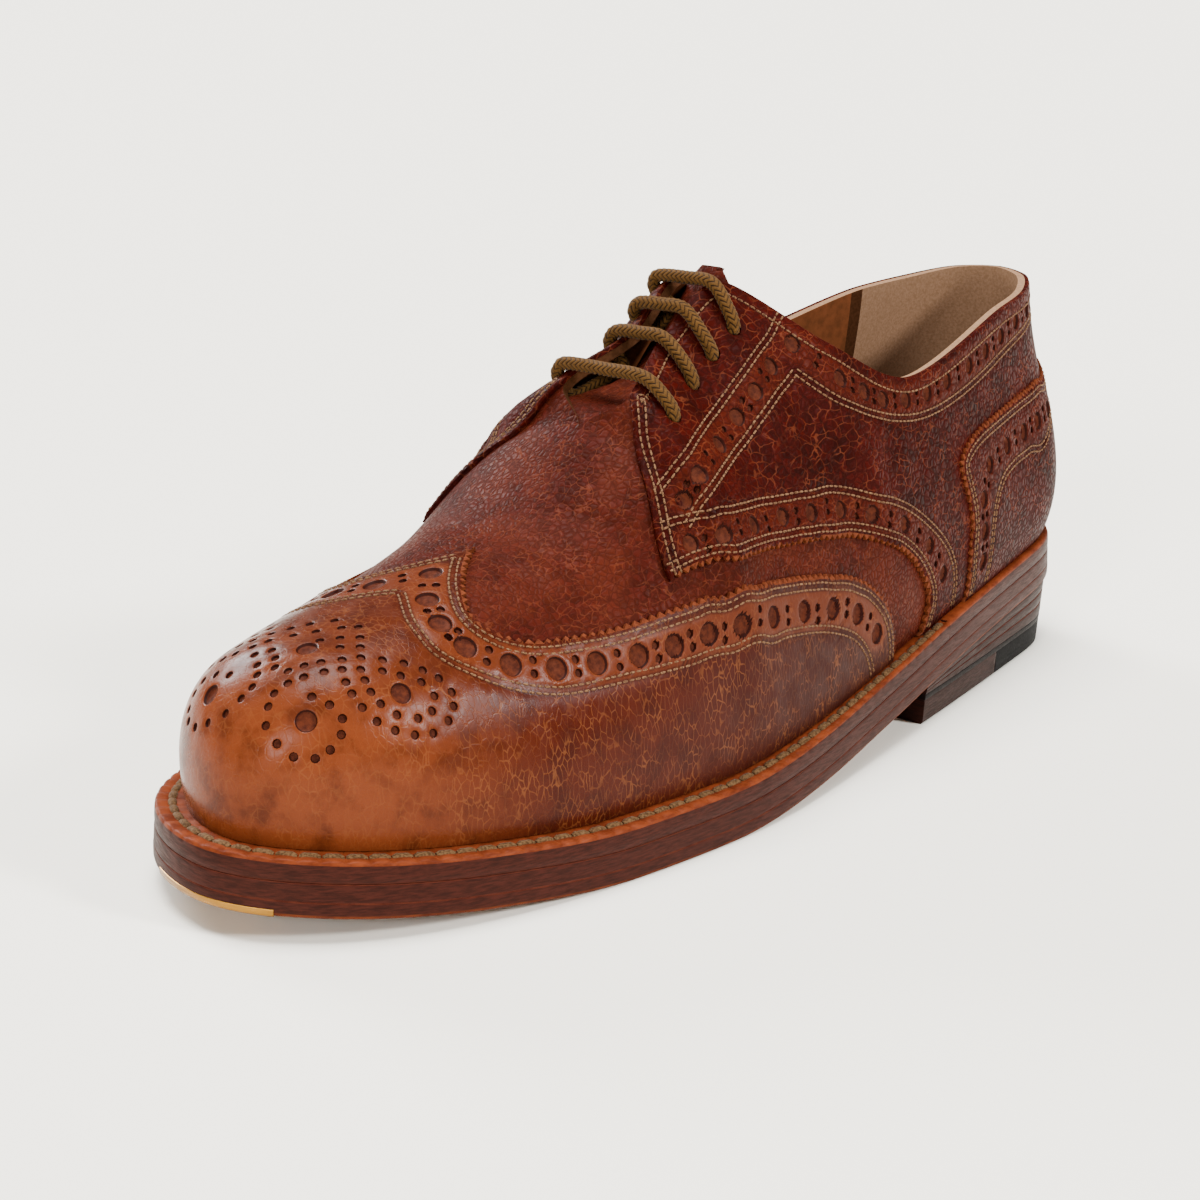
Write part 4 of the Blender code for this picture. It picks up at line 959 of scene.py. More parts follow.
def cut_panel(name, chart, edges, seams, holes, eyelets, top, base, leather, bands, replaces):
    """A closed sheet of leather on the last, with its edges, seams, punched holes and eyelets."""
    turn = turned(np.vstack([line[:-1] for _, line in edges]))
    sheet, insets = Sheet(chart), []
    loop, sinks, kinds = [], [], []
    for style, line in edges:
        if style == "pinked":
            line = chart.even(line, PINK_PITCH / 4)
            tooth = np.array((0.0, 0.5, 1.0, 0.5))[np.arange(len(line)) % 4]
            insets += [(chart.aside(line, turn * RAW_BAND)[::2], 0.05, RAW),
                       (chart.aside(line, turn * 1.9)[::3], 0.0, PLAIN)]
            line = chart.aside(line, turn * PINK_DEPTH * tooth)
            sinks.append(0.42 - 0.22 * tooth)
            kinds.append(np.full(len(line), RAW))
        else:
            line = chart.even(line, 1.2)
            if style == "folded":
                insets += [(chart.aside(line, turn * 0.4), 0.10, PLAIN),
                           (chart.aside(line, turn * 1.1), 0.0, PLAIN)]
            sinks.append(np.full(len(line), 0.40 if style == "folded" else 0.0))
            kinds.append(np.full(len(line), PLAIN))
        loop.append(line[:-1])
        sinks[-1], kinds[-1] = sinks[-1][:-1], kinds[-1][:-1]
    loop, sinks, kinds = np.vstack(loop), np.concatenate(sinks), np.concatenate(kinds)
    rim = len(loop)
    sheet.put(loop, sinks)
    sheet.kind = kinds
    fixed = closed_edges(0, rim)
    gone = []
    for spots, radius in eyelets:
        rings, wider = (circles(chart, spots, radius * grow, EYELET_SIDES) for grow in (1, 1.3))
        for ring, wide in zip(rings, wider):
            first = len(sheet.spots)
            sheet.put(ring, 0.18)
            sheet.put(wide, 0.0)
            fixed += closed_edges(first, EYELET_SIDES)
            gone.append((first, ring))
    for spots, radius, depth in holes:
        levels, count = (BIG_HOLE, 20) if radius > BIG_FROM else (SMALL_HOLE, 10)
        sheet.put(spots, depth, FLOOR)
        for grow, share, kind in levels:
            sheet.put(circles(chart, spots, radius * grow, count).reshape(-1, 2), depth * share, kind,
                      clear=0.10 if grow > 1 else 0.0)
    discs = [(chart.place(spots, 0), radius * 1.45) for spots, radius, _ in holes]
    discs += [(chart.place(spots, 0), radius * 1.4) for spots, radius in eyelets]

    def off_holes(spots):
        solid = chart.place(spots, 0)
        keep = np.ones(len(spots), bool)
        for middles, reach in discs:
            for middle in middles:
                keep &= np.linalg.norm(solid - middle, axis=1) > reach
        return spots[keep]

    for line, sink, kind in insets:
        sheet.put(off_holes(line), sink, kind, clear=0.30, loop=loop)
    for line, rows in seams:
        line = chart.even(line, 1.1)
        for offset, sink, seam in groove(rows):
            sheet.put(off_holes(chart.aside(line, offset)), sink, seam=seam, clear=0.38, loop=loop)
    low, high = loop.min(axis=0), loop.max(axis=0)
    columns, rows = np.arange(low[0], high[0], NET), np.arange(low[1], high[1], NET * 0.866)
    x, y = np.meshgrid(columns, rows, indexing="ij")
    x = x + (np.arange(x.shape[1]) % 2) * NET / 2
    grid = np.c_[x.ravel(), y.ravel()]
    sheet.put(off_holes(grid[inside(grid, loop)]), clear=NET * 0.62)

    def stays(middles):
        keep = inside(middles, loop)
        for _, ring in gone:
            keep &= ~inside(middles, ring)
        return keep

    faces = triangles(sheet.spots, fixed, stays)
    marks = chart.marks(sheet.spots)
    out = by_side(marks, facing_out)
    upper = sheet.solid + out * (top - sheet.sink - creased(sheet.solid))[:, None]
    kind = sheet.kind[faces]
    floor = (kind == FLOOR).sum(axis=1)
    # faces round a hole's rim take the wall material: painted shade inside the hole
    picks = np.where((kind == RAW).all(axis=1), 1, np.where(floor == 3, 2, np.where(floor > 0, 3, 0)))

    under = Sheet(chart)
    under.put(loop)
    fixed = closed_edges(0, rim)
    for first, ring in gone:
        start = len(under.spots)
        under.put(ring)
        fixed += closed_edges(start, EYELET_SIDES)
    wide = grid[inside(grid, loop)][::9]
    under.put(off_holes(wide), clear=3.0)
    below = triangles(under.spots, fixed, stays)
    lower = under.solid + by_side(chart.marks(under.spots), facing_out) * base
    size = len(upper)
    walls = [(i, size + i, size + (i + 1) % rim, (i + 1) % rim) for i in range(rim)]
    wall_picks = [1 if kinds[i] == RAW else 0 for i in range(rim)]
    for n, (first, ring) in enumerate(gone):
        start = size + rim + EYELET_SIDES * n
        steps = closed_edges(0, EYELET_SIDES)
        walls += [(first + i, first + j, start + j, start + i) for i, j in steps]
        wall_picks += [0] * EYELET_SIDES
    band = np.zeros(size)
    for line, reach in bands:
        path = chart.place(chart.even(line, 1.0), 0)
        for start in range(0, size, 4000):
            gap = np.linalg.norm(sheet.solid[start:start + 4000, None] - path[None], axis=2).min(axis=1)
            shown = np.clip((reach + 0.8 - gap) / 0.8, 0, 1)
            band[start:start + 4000] = np.maximum(band[start:start + 4000], shown)
    points = np.vstack((upper, lower))
    every = [list(f) for f in faces] + [list(f[::-1] + size) for f in below] + [list(w) for w in walls]
    picks = np.r_[picks, np.zeros(len(below), int), wall_picks]
    layers = {"seam": np.r_[sheet.seam, np.zeros(len(lower))], "band": np.r_[band, np.zeros(len(lower))]}
    materials = (leather, raw_edge, hole_floor, hole_wall_shade)
    return make_piece(name, points, every, materials, picks, layers, replaces=replaces)


def groove(rows):
    """Offsets across a seam with how far the leather sinks there: low under each row of stitches."""
    out = []
    for row in rows:
        out.append((row, 0.20, 1.0))
    if len(rows) > 1:
        out += [(sum(rows) / len(rows), 0.03, 0.2)]
    return out + [(min(rows) - 0.75, 0.0, 0.0), (max(rows) + 0.75, 0.0, 0.0)]


# %% Rows of stitches and holes
STITCH_PITCH = 1.7
STITCH_RADIUS = 0.24
DOUBLE, SINGLE = (-ROW_GAP, ROW_GAP), (0.0,)
SEAM_INSET = 2.75                            # from a pinked edge to the middle of its seam
SEAM_FROM = 0.012                            # a seam is left out below this up, where the welt hides it
sewn = []                                    # start, stop and outward direction of every stitch


def sew(chart, line, rows, lift):
    """Note the stitches of each row along a seam."""
    for row in rows:
        path = chart.even(chart.aside(chart.even(line, 0.8), row), STITCH_PITCH)
        marks = chart.marks(path)
        solid, out = by_side(marks, section), by_side(marks, facing_out)
        solid = solid + out * (lift - 0.06 - creased(solid))[:, None]
        step = np.diff(solid, axis=0)
        sewn.append((solid[:-1] + 0.11 * step, solid[1:] - 0.11 * step, out[:-1]))


def punched(chart, side, table, punch, once=()):
    """Round holes at their marks, with a pair of small ones side by side between each two."""
    radius, small, apart = punch
    big = by_side([(side, *mark) for mark in table], unroll)
    lines = [np.array((a, (a + b) / 2, b)) for a, b in zip(big, big[1:])]
    pairs = np.array([chart.aside(line, d)[1] for line in lines for d in (-apart, apart)])
    keep = [i for i in range(len(table)) if side == OUTER or i not in once]
    return [(big[keep], radius, 1.0), (pairs, small, 0.8)]


def inward(chart, line, distance, loop):
    """A line moved into a loop by millimetres on the last."""
    for sign in (1, -1):
        moved = chart.aside(line, sign * distance)
        if inside(moved[len(moved) // 2][None], loop)[0]:
            return moved
    return line


def foot_line(chart, marks):
    """Flat spots along the feather line."""
    return chart.even(by_side(marks, unroll), 1.2)


# %% Wing cap
OVERLAY_TOP, OVERLAY_BASE = 0.8, -0.5        # faces of a panel over the last
WING_PUNCH = (2.55, 0.95, 1.45)              # radius of a hole, of the small ones, half their distance
MEDALLION_PUNCH, DOT_PUNCH = (2.2, 0.9), (0.95, 0.7)
WING_EDGE = (
    (0.378, 0.0), (0.3815, 0.08), (0.3856, 0.149), (0.3902, 0.187), (0.3967, 0.222),
    (0.4065, 0.2553), (0.4214, 0.2838), (0.4456, 0.3223), (0.4699, 0.3594), (0.495, 0.3919),
    (0.528, 0.4317), (0.5531, 0.456), (0.5796, 0.4675), (0.6042, 0.476), (0.6207, 0.4919),
    (0.6351, 0.5128), (0.6487, 0.5333), (0.6624, 0.5513), (0.6768, 0.566), (0.6918, 0.5781),
    (0.7068, 0.591), (0.7242, 0.6054), (0.7391, 0.6174), (0.7531, 0.6359), (0.7657, 0.6642),
    (0.7753, 0.7029), (0.7805, 0.7456), (0.7802, 0.7919), (0.7723, 0.8484), (0.7614, 0.897),
    (0.7464, 0.941), (0.7303, 0.975), (0.7152, 1.0),
)
WING_LOWER_SEAM = (
    (0.803, 1.0), (0.8042, 0.9842), (0.8174, 0.8796), (0.8203, 0.7927), (0.8197, 0.7197),
    (0.8139, 0.6535), (0.8058, 0.6041), (0.7924, 0.5466), (0.776, 0.5041), (0.758, 0.4744),
    (0.7415, 0.4562), (0.7241, 0.4469), (0.7036, 0.4386), (0.6778, 0.4244), (0.6531, 0.3995),
    (0.6281, 0.3695), (0.5927, 0.3394), (0.5536, 0.322), (0.5303, 0.3023), (0.5072, 0.2763),
    (0.4894, 0.254), (0.4723, 0.2283), (0.4468, 0.1765), (0.427, 0.103), (0.414, 0.0),
)
WING_HOLES = (
    (0.769, 1.0), (0.7982, 0.9088), (0.8061, 0.8), (0.8017, 0.6826), (0.7755, 0.5746),
    (0.7406, 0.5224), (0.707, 0.4988), (0.672, 0.4691), (0.6437, 0.4355), (0.6142, 0.4029),
    (0.58, 0.3842), (0.542, 0.362), (0.5001, 0.313), (0.4633, 0.2661), (0.4326, 0.2089),
    (0.4099, 0.1274),
)
# Medallion on the toe as share and up; holes off the middle line are mirrored to the other side.
MEDALLION_MIDDLE = ((1.0, 0.905),)
MEDALLION_BIG = ((0.9389, 0.5487), (0.8497, 0.6158))
MEDALLION_RIDGE = ((0.8526, 1.0), (1.0, 0.965))
MEDALLION_DOTS = (
    (0.8438, 0.958), (0.863, 0.9555), (0.8501, 0.9073), (0.8738, 0.9087), (0.8557, 0.8656),
    (0.9358, 0.8353), (0.8886, 0.8384), (0.8614, 0.8191), (0.965, 0.8138), (0.9273, 0.7815),
    (0.8963, 0.7864), (0.9858, 0.7747), (0.9558, 0.7543), (0.9729, 0.7168), (0.9825, 0.6608),
    (0.9377, 0.6589), (0.9182, 0.6203), (0.906, 0.5561), (0.9077, 0.4881), (0.9167, 0.4251),
    (0.9277, 0.3889), (0.944, 0.3936), (0.9593, 0.4445), (0.9743, 0.5152), (0.9806, 0.5985),
    (0.8918, 0.6639), (0.8696, 0.6587), (0.8839, 0.598), (0.8659, 0.6003), (0.8959, 0.7202),
    (0.8698, 0.7154), (0.8681, 0.7679), (0.8535, 0.7263), (0.849, 0.7697), (0.839, 0.7209),
    (0.8447, 0.6813), (0.8315, 0.6673), (0.8252, 0.6176), (0.8354, 0.6283), (0.8212, 0.5553),
    (0.8317, 0.5639), (0.8227, 0.5076), (0.836, 0.5155), (0.8282, 0.465), (0.8392, 0.4376),
    (0.8455, 0.5054), (0.8505, 0.4484), (0.8622, 0.4826), (0.8576, 0.5402), (0.8735, 0.5322),
)


def on_both(table):
    """Flat spots of marks on the toe, on both sides of the middle line."""
    return by_side([(side, *mark) for side in (OUTER, INNER) for mark in table], unroll)


def make_wing():
    chart = front_chart
    edge = {side: chart.line(side, WING_EDGE) for side in (OUTER, INNER)}
    tail = WING_EDGE[0][0]
    shares = np.linspace(tail, 1.0, 120)
    foot = [(INNER, s, 0.0) for s in shares] + [(OUTER, s, 0.0) for s in shares[::-1][1:]]
    edges = [("pinked", edge[OUTER]), ("pinked", edge[INNER][::-1]), ("tucked", foot_line(chart, foot))]
    loop = np.vstack([line[:-1] for _, line in edges])
    seams, holes, bands = [], [], []
    for side in (OUTER, INNER):
        for line in (inward(chart, edge[side], SEAM_INSET, loop), chart.line(side, WING_LOWER_SEAM)):
            line = line[line[:, 1] * side > 0.2]
            line = line[chart.marks(line)[:, 2] > SEAM_FROM]
            seams.append((line, DOUBLE))
            sew(chart, line, DOUBLE, OVERLAY_TOP)
        holes += punched(chart, side, WING_HOLES, WING_PUNCH, once=(0,))
        bands.append((chart.line(side, WING_HOLES), 4.2))
    middle = by_side([(OUTER, *mark) for mark in MEDALLION_MIDDLE], unroll)
    ridge = by_side([(OUTER, *mark) for mark in MEDALLION_RIDGE], unroll)
    holes += [(spots, *MEDALLION_PUNCH) for spots in (middle, on_both(MEDALLION_BIG))]
    holes += [(spots, *DOT_PUNCH) for spots in (ridge, on_both(MEDALLION_DOTS))]
    return cut_panel("wing_cap_cut", chart, edges, seams, holes, [], OVERLAY_TOP, OVERLAY_BASE, cap_calf,
                     bands, ("wing_cap",))


wing = make_wing()

# %% Quarters
QUARTER_PUNCH = (2.15, 0.80, 1.25)
FRONT_INSET, COLLAR_INSET = 2.4, 1.8         # from a folded edge to its seam
QUARTER_NODES = {OUTER: "quarter_outer", INNER: "quarter_inner"}
QUARTER_LOW = (
    (0.338, 0.0), (0.3325, 0.07), (0.3295, 0.121), (0.332, 0.173), (0.338, 0.233), (0.3477, 0.292),
    (0.3613, 0.338), (0.3757, 0.357), (0.3895, 0.3638), (0.4074, 0.369), (0.432, 0.3848),
    (0.4566, 0.4146), (0.4815, 0.4456), (0.5084, 0.4755), (0.539, 0.508), (0.565, 0.527),
    (0.5892, 0.536), (0.6164, 0.5513), (0.6302, 0.5666),
)
QUARTER_FRONT = (
    (0.6302, 0.5666), (0.6299, 0.6073), (0.6263, 0.6562), (0.6225, 0.6915), (0.6021, 0.8065),
    (0.5875, 0.8756), (0.5744, 0.94), (0.56, 1.0),
)
BAND_SEAM = (
    (0.619, 0.678), (0.606, 0.66), (0.588, 0.65), (0.574, 0.649), (0.555, 0.64), (0.529, 0.608),
    (0.503, 0.577), (0.482, 0.551), (0.462, 0.525), (0.44, 0.498), (0.4192, 0.486),
    (0.3931, 0.4897), (0.3739, 0.499), (0.3517, 0.498), (0.3311, 0.4737), (0.3121, 0.4178),
    (0.2981, 0.3423), (0.29, 0.2633), (0.2867, 0.1816), (0.2867, 0.0883), (0.287, 0.0),
)
BAND_HOLES = (
    (0.604, 0.5976), (0.5714, 0.595), (0.5266, 0.559), (0.4853, 0.5146), (0.4509, 0.4702),
    (0.4148, 0.438), (0.3831, 0.442), (0.3482, 0.4216), (0.32, 0.3318), (0.3064, 0.1987),
)
FACING_INNER_SEAM = (
    (0.607, 0.739), (0.598, 0.744), (0.58, 0.774), (0.563, 0.803), (0.536, 0.802), (0.508, 0.791),
    (0.484, 0.788), (0.463, 0.787), (0.443, 0.789), (0.422, 0.805), (0.401, 0.872), (0.3854, 0.995),
)
FACING_OUTER_SEAM = (
    (0.5998, 0.6348), (0.581, 0.672), (0.568, 0.698), (0.547, 0.705), (0.523, 0.699), (0.5, 0.694),
    (0.481, 0.693), (0.464, 0.693), (0.447, 0.694), (0.43, 0.702), (0.41, 0.73), (0.3956, 0.7909),
)
FACING_HOLES = (
    (0.5893, 0.6891), (0.5642, 0.7457), (0.5167, 0.739), (0.4786, 0.7394), (0.4469, 0.739),
    (0.4158, 0.7681),
)
COLLAR_SEAM = (
    (0.3956, 0.7909), (0.3824, 0.788), (0.3687, 0.792), (0.3455, 0.801), (0.3166, 0.8253),
    (0.2912, 0.845), (0.2648, 0.848), (0.2486, 0.8414), (0.233, 0.8346), (0.2138, 0.8298),
    (0.1918, 0.8324), (0.1603, 0.8482), (0.116, 0.8705), (0.05, 0.88), (0.0, 0.885),
)
COLLAR_HOLES = (
    (0.3872, 0.8962), (0.36, 0.88), (0.3358, 0.88), (0.3128, 0.891), (0.2835, 0.9161),
    (0.2586, 0.92), (0.2389, 0.915), (0.2171, 0.903), (0.1989, 0.8998), (0.1782, 0.9023),
    (0.1473, 0.9183), (0.11, 0.925), (0.07, 0.93), (0.03, 0.935),
)
EYELETS = {                                  # the inner row sits a little higher on the instep
    OUTER: ((0.545, 0.880), (0.500, 0.870), (0.465, 0.872), (0.432, 0.876)),
    INNER: ((0.545, 0.950), (0.500, 0.950), (0.465, 0.955), (0.432, 0.958)),
}
EYELET_RADIUS = 1.95


def make_quarter(side):
    chart = quarter_chart[side]
    low, front = chart.line(side, QUARTER_LOW), chart.line(side, QUARTER_FRONT)
    top = by_side([(side, s, 1.0) for s in np.linspace(QUARTER_FRONT[-1][0], 0.0, 160)], unroll)
    back = by_side([(side, 0.0, v) for v in np.linspace(1.0, 0.0, 60)], unroll)
    foot = by_side([(side, s, 0.0) for s in np.linspace(0.0, QUARTER_LOW[0][0], 90)], unroll)
    edges = [("pinked", low), ("folded", front), ("folded", top), ("tucked", back), ("tucked", foot)]
    loop = np.vstack([line[:-1] for _, line in edges])
    seams, holes, bands = [], [], []
    lines = [
        (inward(chart, low, SEAM_INSET, loop), DOUBLE),
        (inward(chart, front, FRONT_INSET, loop), DOUBLE),
        (inward(chart, chart.even(top, LINE_STEP), COLLAR_INSET, loop), SINGLE),
    ]
    sewn_on = (BAND_SEAM, FACING_INNER_SEAM, FACING_OUTER_SEAM, COLLAR_SEAM)
    lines += [(chart.line(side, table), DOUBLE) for table in sewn_on]
    for line, rows in lines:
        line = line[inside(line, loop)]
        marks = chart.marks(line)
        line = line[(marks[:, 2] > SEAM_FROM) & (marks[:, 1] > 0.002)]
        seams.append((line, rows))
        sew(chart, line, rows, OVERLAY_TOP)
    for table in (BAND_HOLES, FACING_HOLES, COLLAR_HOLES):
        holes += punched(chart, side, table, QUARTER_PUNCH)
        bands.append((chart.line(side, table), 3.8))
    eyelets = [(by_side([(side, a, b) for a, b in EYELETS[side]], unroll), EYELET_RADIUS)]
    node = QUARTER_NODES[side]
    return cut_panel(node + "_cut", chart, edges, seams, holes, eyelets, OVERLAY_TOP, OVERLAY_BASE,
                     grain_calf, bands, (node,))


for side in QUARTER_NODES:
    make_quarter(side)

# %% Heel counter
COUNTER_TOP, COUNTER_BASE = 1.75, 0.6
COUNTER_PUNCH = (2.3, 0.85, 1.35)
COUNTER_EDGE = (
    (0.0, 0.66), (0.084, 0.66), (0.1187, 0.664), (0.1437, 0.659), (0.1752, 0.6575), (0.1983, 0.661),
    (0.2174, 0.665), (0.2307, 0.656), (0.2398, 0.634), (0.2465, 0.6002), (0.2488, 0.5556),
    (0.2499, 0.476), (0.2511, 0.3947), (0.2549, 0.3173), (0.2636, 0.2119), (0.266, 0.1),
    (0.267, 0.0),
)
COUNTER_SEAM = (
    (0.0, 0.44), (0.1139, 0.4419), (0.1543, 0.4429), (0.1833, 0.4397), (0.1991, 0.4245),
    (0.2108, 0.3792), (0.2209, 0.2978), (0.2265, 0.201), (0.2288, 0.1427), (0.23, 0.0),
)
COUNTER_HOLES = (
    (0.0, 0.525), (0.035, 0.525), (0.07, 0.524), (0.1, 0.523), (0.132, 0.5229), (0.1609, 0.5209),
    (0.1909, 0.521), (0.217, 0.51), (0.2323, 0.4016), (0.2375, 0.2706), (0.242, 0.14),
)


def make_counter():
    chart = heel_chart
    edge = {side: chart.line(side, COUNTER_EDGE) for side in (OUTER, INNER)}
    shares = np.linspace(COUNTER_EDGE[-1][0], 0.0, 60)
    foot = [(OUTER, s, 0.0) for s in shares] + [(INNER, s, 0.0) for s in shares[::-1][1:]]
    edges = [("pinked", edge[INNER][::-1]), ("pinked", edge[OUTER]), ("tucked", foot_line(chart, foot))]
    loop = np.vstack([line[:-1] for _, line in edges])
    seams, holes, bands = [], [], []
    for side in (OUTER, INNER):
        for line in (inward(chart, edge[side], SEAM_INSET, loop), chart.line(side, COUNTER_SEAM)):
            line = line[chart.marks(line)[:, 2] > SEAM_FROM]
            seams.append((line, DOUBLE))
            sew(chart, line, DOUBLE, COUNTER_TOP)
        holes += punched(chart, side, COUNTER_HOLES, COUNTER_PUNCH, once=(0,))
        bands.append((chart.line(side, COUNTER_HOLES), 3.6))
    return cut_panel("heel_counter_cut", chart, edges, seams, holes, [], COUNTER_TOP, COUNTER_BASE,
                     grain_calf, bands, ("heel_counter",))


counter = make_counter()
print("stitches so far:", sum(len(s[0]) for s in sewn))

# %% [markdown]
# ## The lined upper and its tongue
# Under the panels runs one continuous wall: outside it is the vamp, inside it is lined, with napped
# suede round the heel so that the foot does not slip, and smooth tan calf further forward. On a derby
# the vamp runs on under the facings as the tongue.

# %% Upper wall
SKIN_OUT, SKIN_IN = -0.58, -2.4              # faces of the wall under the last's surface
SUEDE_TO, STRIP_WIDE = 0.172, 0.008          # share where the suede ends, and its sewn-down strip
PALE_RIM_TO = 0.3                            # share up to which the collar's rim shows suede


def make_upper():
    along = np.unique(np.round(np.r_[np.linspace(0, 0.36, 76), np.linspace(0.36, 0.78, 150),
                                     np.linspace(0.78, 1.0, 64), THROAT_SHARE, CORNER_SHARE], 5))
    up = np.r_[np.linspace(0, 0.9, 34), 0.93, 0.955, 0.975, 0.99, 1.0]
    n, m = len(along), len(up)
    a, v = (g.ravel() for g in np.meshgrid(along, up, indexing="ij"))
    points, faces, picks = [], [], []

    def at(sheet, i, j):
        return sheet * n * m + i * m + j

    for k, side in enumerate((OUTER, INNER)):
        base = section(side, a, v)
        sink = creased(base)
        points.append(skin(side, a, v, SKIN_OUT - sink))
        points.append(skin(side, a, v, SKIN_IN - 0.5 * sink))
        for i in range(n - 1):
            strip = SUEDE_TO < along[i] < SUEDE_TO + STRIP_WIDE
            lining = 3 if strip else 2 if along[i] < SUEDE_TO else 1
            for j in range(m - 1):
                for sheet, pick in ((2 * k, 0), (2 * k + 1, lining)):
                    quad = ((i, j), (i + 1, j), (i + 1, j + 1), (i, j + 1))
                    faces.append([at(sheet, *spot) for spot in quad])
                    picks.append(pick)
            for j in (0, m - 1):
                if j == 0 or along[i] < THROAT_SHARE:
                    rim = ((2 * k, i), (2 * k, i + 1), (2 * k + 1, i + 1), (2 * k + 1, i))
                    faces.append([at(sheet, place, j) for sheet, place in rim])
                    picks.append(1 if j == 0 else 2 if along[i] < PALE_RIM_TO else 3)
    materials = (vamp_calf, lining_tan, lining_suede, lining_edge)
    return make_piece("upper_lined", np.vstack(points), faces, materials, picks, joined=True,
                      replaces=("upper",))


upper = make_upper()

# %% Tongue
TONGUE = (                                   # share, depth, first up, more depth at its edge
    (0.668, 0.8, 0.93, 0.1), (0.655, 0.5, 0.91, 0.35), (0.635, 0.5, 0.89, 0.4),
    (0.61, 0.52, 0.86, 0.4), (0.592, 0.8, 0.84, 0.35), (0.575, 2.0, 0.82, 0.2),
    (0.558, 4.0, 0.81, 0.0), (0.54, 5.8, 0.8, 0.0), (0.52, 7.0, 0.78, 0.0), (0.5, 7.2, 0.765, 0.0),
    (0.475, 7.0, 0.75, 0.0), (0.44, 6.0, 0.76, 0.0), (0.42, 4.8, 0.8, 0.0),
)
TONGUE_RISE, TONGUE_THICK = 8.0, 2.0         # tip above the facings, thickness
TONGUE_ACROSS, TONGUE_MIDDLE = 33, 16        # points across the tongue, and its middle one


def make_tongue():
    table = np.array(TONGUE)[::-1]
    shares = np.linspace(table[-1, 0], table[0, 0], 74)
    depth, start, margin = (smooth(table[:, 0], table[:, k], shares) for k in (1, 2, 3))
    rows = []
    for share, deep, first, more in zip(shares, depth, start, margin):
        up = np.linspace(first, 0.995, 18)
        sink = deep + more * np.linspace(1, 0, 18) ** 2
        sides = [skin(side, np.full(18, share), up, -sink) for side in (OUTER, INNER)]
        outer, inner = sides[0][sides[0][:, 1] < -0.4], sides[1][sides[1][:, 1] > 0.4]
        line = np.vstack((outer, inner[::-1]))
        length = run_lengths(line)
        rows.append(along_line(line, length, np.linspace(0, length[-1], TONGUE_ACROSS)))
    rise = (rows[-1] - rows[-6]).mean(axis=0)
    rise = rise / np.linalg.norm(rise)
    last = rows[-1]
    spots = np.arange(float(TONGUE_ACROSS))
    for t in np.sin(np.linspace(0, math.pi / 2, 18))[1:]:
        kept = TONGUE_MIDDLE + (spots - TONGUE_MIDDLE) * math.sqrt(1 - (0.985 * t) ** 2)
        rows.append(along_line(last, spots, kept) + rise * TONGUE_RISE * t)
    grid = np.array(rows)
    ahead, across = np.gradient(grid, axis=0), np.gradient(grid, axis=1)
    down = np.cross(ahead, across)
    down /= np.linalg.norm(down, axis=2, keepdims=True)
    down *= np.where(down[..., 2:] > 0, -1.0, 1.0)
    n, m = grid.shape[:2]
    points = np.concatenate([g.reshape(-1, 3) for g in (grid, grid + down * TONGUE_THICK)])
    faces, picks = [], []
    for i in range(n - 1):
        for j in range(m - 1):
            for k in (0, 1):
                first = k * n * m + i * m + j
                faces.append((first, first + 1, first + m + 1, first + m))
                picks.append(k)
    rim = [(0, j) for j in range(m)] + [(i, m - 1) for i in range(1, n)]
    rim += [(n - 1, j) for j in range(m - 2, -1, -1)] + [(i, 0) for i in range(n - 2, 0, -1)]
    for (a, b), (c, d) in zip(rim, rim[1:] + rim[:1]):
        faces.append((a * m + b, c * m + d, n * m + c * m + d, n * m + a * m + b))
        picks.append(0)
    return make_piece("tongue_lined", points, faces, (vamp_calf, lining_tan), picks, joined=True,
                      replaces=("tongue",))


tongue = make_tongue()

# %% [markdown]
# ## Sole, welt and heel
# The outsole and a second sole are cut together, so their edges are trimmed flush, dyed and waxed as
# one; a pale line stays where two layers meet. The welt is a strip sewn to the upper. Its lip shows
# all round the forefoot and carries the thick waxed stitches that hold the soles on.


# %% Layers of the sole
SOLE_COUNT, INSOLE_COUNT = 240, 150          # steps along one half of a layer's edge
OUTSOLE_EDGE = (                             # inset, rise, material of the strip above
    (0.9, 0.0, 3), (0.35, 0.1, 3), (0.08, 0.4, 3), (0.0, 0.8, 0), (0.0, 2.2, 0), (0.03, 2.85, 0),
    (0.10, 3.20, 1), (0.16, 3.42, 2),
)
MIDSOLE_EDGE = (
    (0.20, 3.42, 1), (0.12, 3.60, 0), (0.14, 4.1, 0), (0.22, 5.4, 0), (0.28, 6.6, 0), (0.32, 6.95, 0),
    (0.40, 7.2, 1), (0.45, 7.38, 0),
)


def sole_loop(shares, inset, rise):
    """Closed loop round the sole: outer side from heel to toe, inner side back to the heel."""
    outer = edge_line(OUTER, shares, inset)[0]
    inner = edge_line(INNER, shares, inset)[0][::-1][1:-1]
    plan = np.vstack((outer, inner))
    return np.c_[plan, tread(plan[:, 0]) + rise]


def across_loop(start, size, count):
    """Strips from the outer to the inner half that close such a loop."""
    inner = [start] + [start + size - i for i in range(1, count)] + [start + count]
    return [list(dict.fromkeys((start + i, start + i + 1, inner[i + 1], inner[i]))) for i in range(count)]


def sole_layer(name, profile, materials, replaces):
    """A sole layer from its edge profile; shares lie closer together at the heel and the toe."""
    even = np.linspace(0, 1, SOLE_COUNT + 1)
    shares = 0.5 * (0.5 - 0.5 * np.cos(math.pi * even)) + 0.5 * even
    rings = [sole_loop(shares, np.full(SOLE_COUNT + 1, inset), rise) for inset, rise, _ in profile]
    size = len(rings[0])
    faces = between_rings(len(rings), size)
    picks = [pick for _, _, pick in profile[:-1] for _ in range(size)]
    for k, pick in ((0, profile[-1][2]), (len(rings) - 1, 0)):
        faces += across_loop(k * size, size, SOLE_COUNT)
        picks += [pick] * SOLE_COUNT
    return make_piece(name, np.vstack(rings), faces, materials, picks, joined=True, replaces=(replaces,))


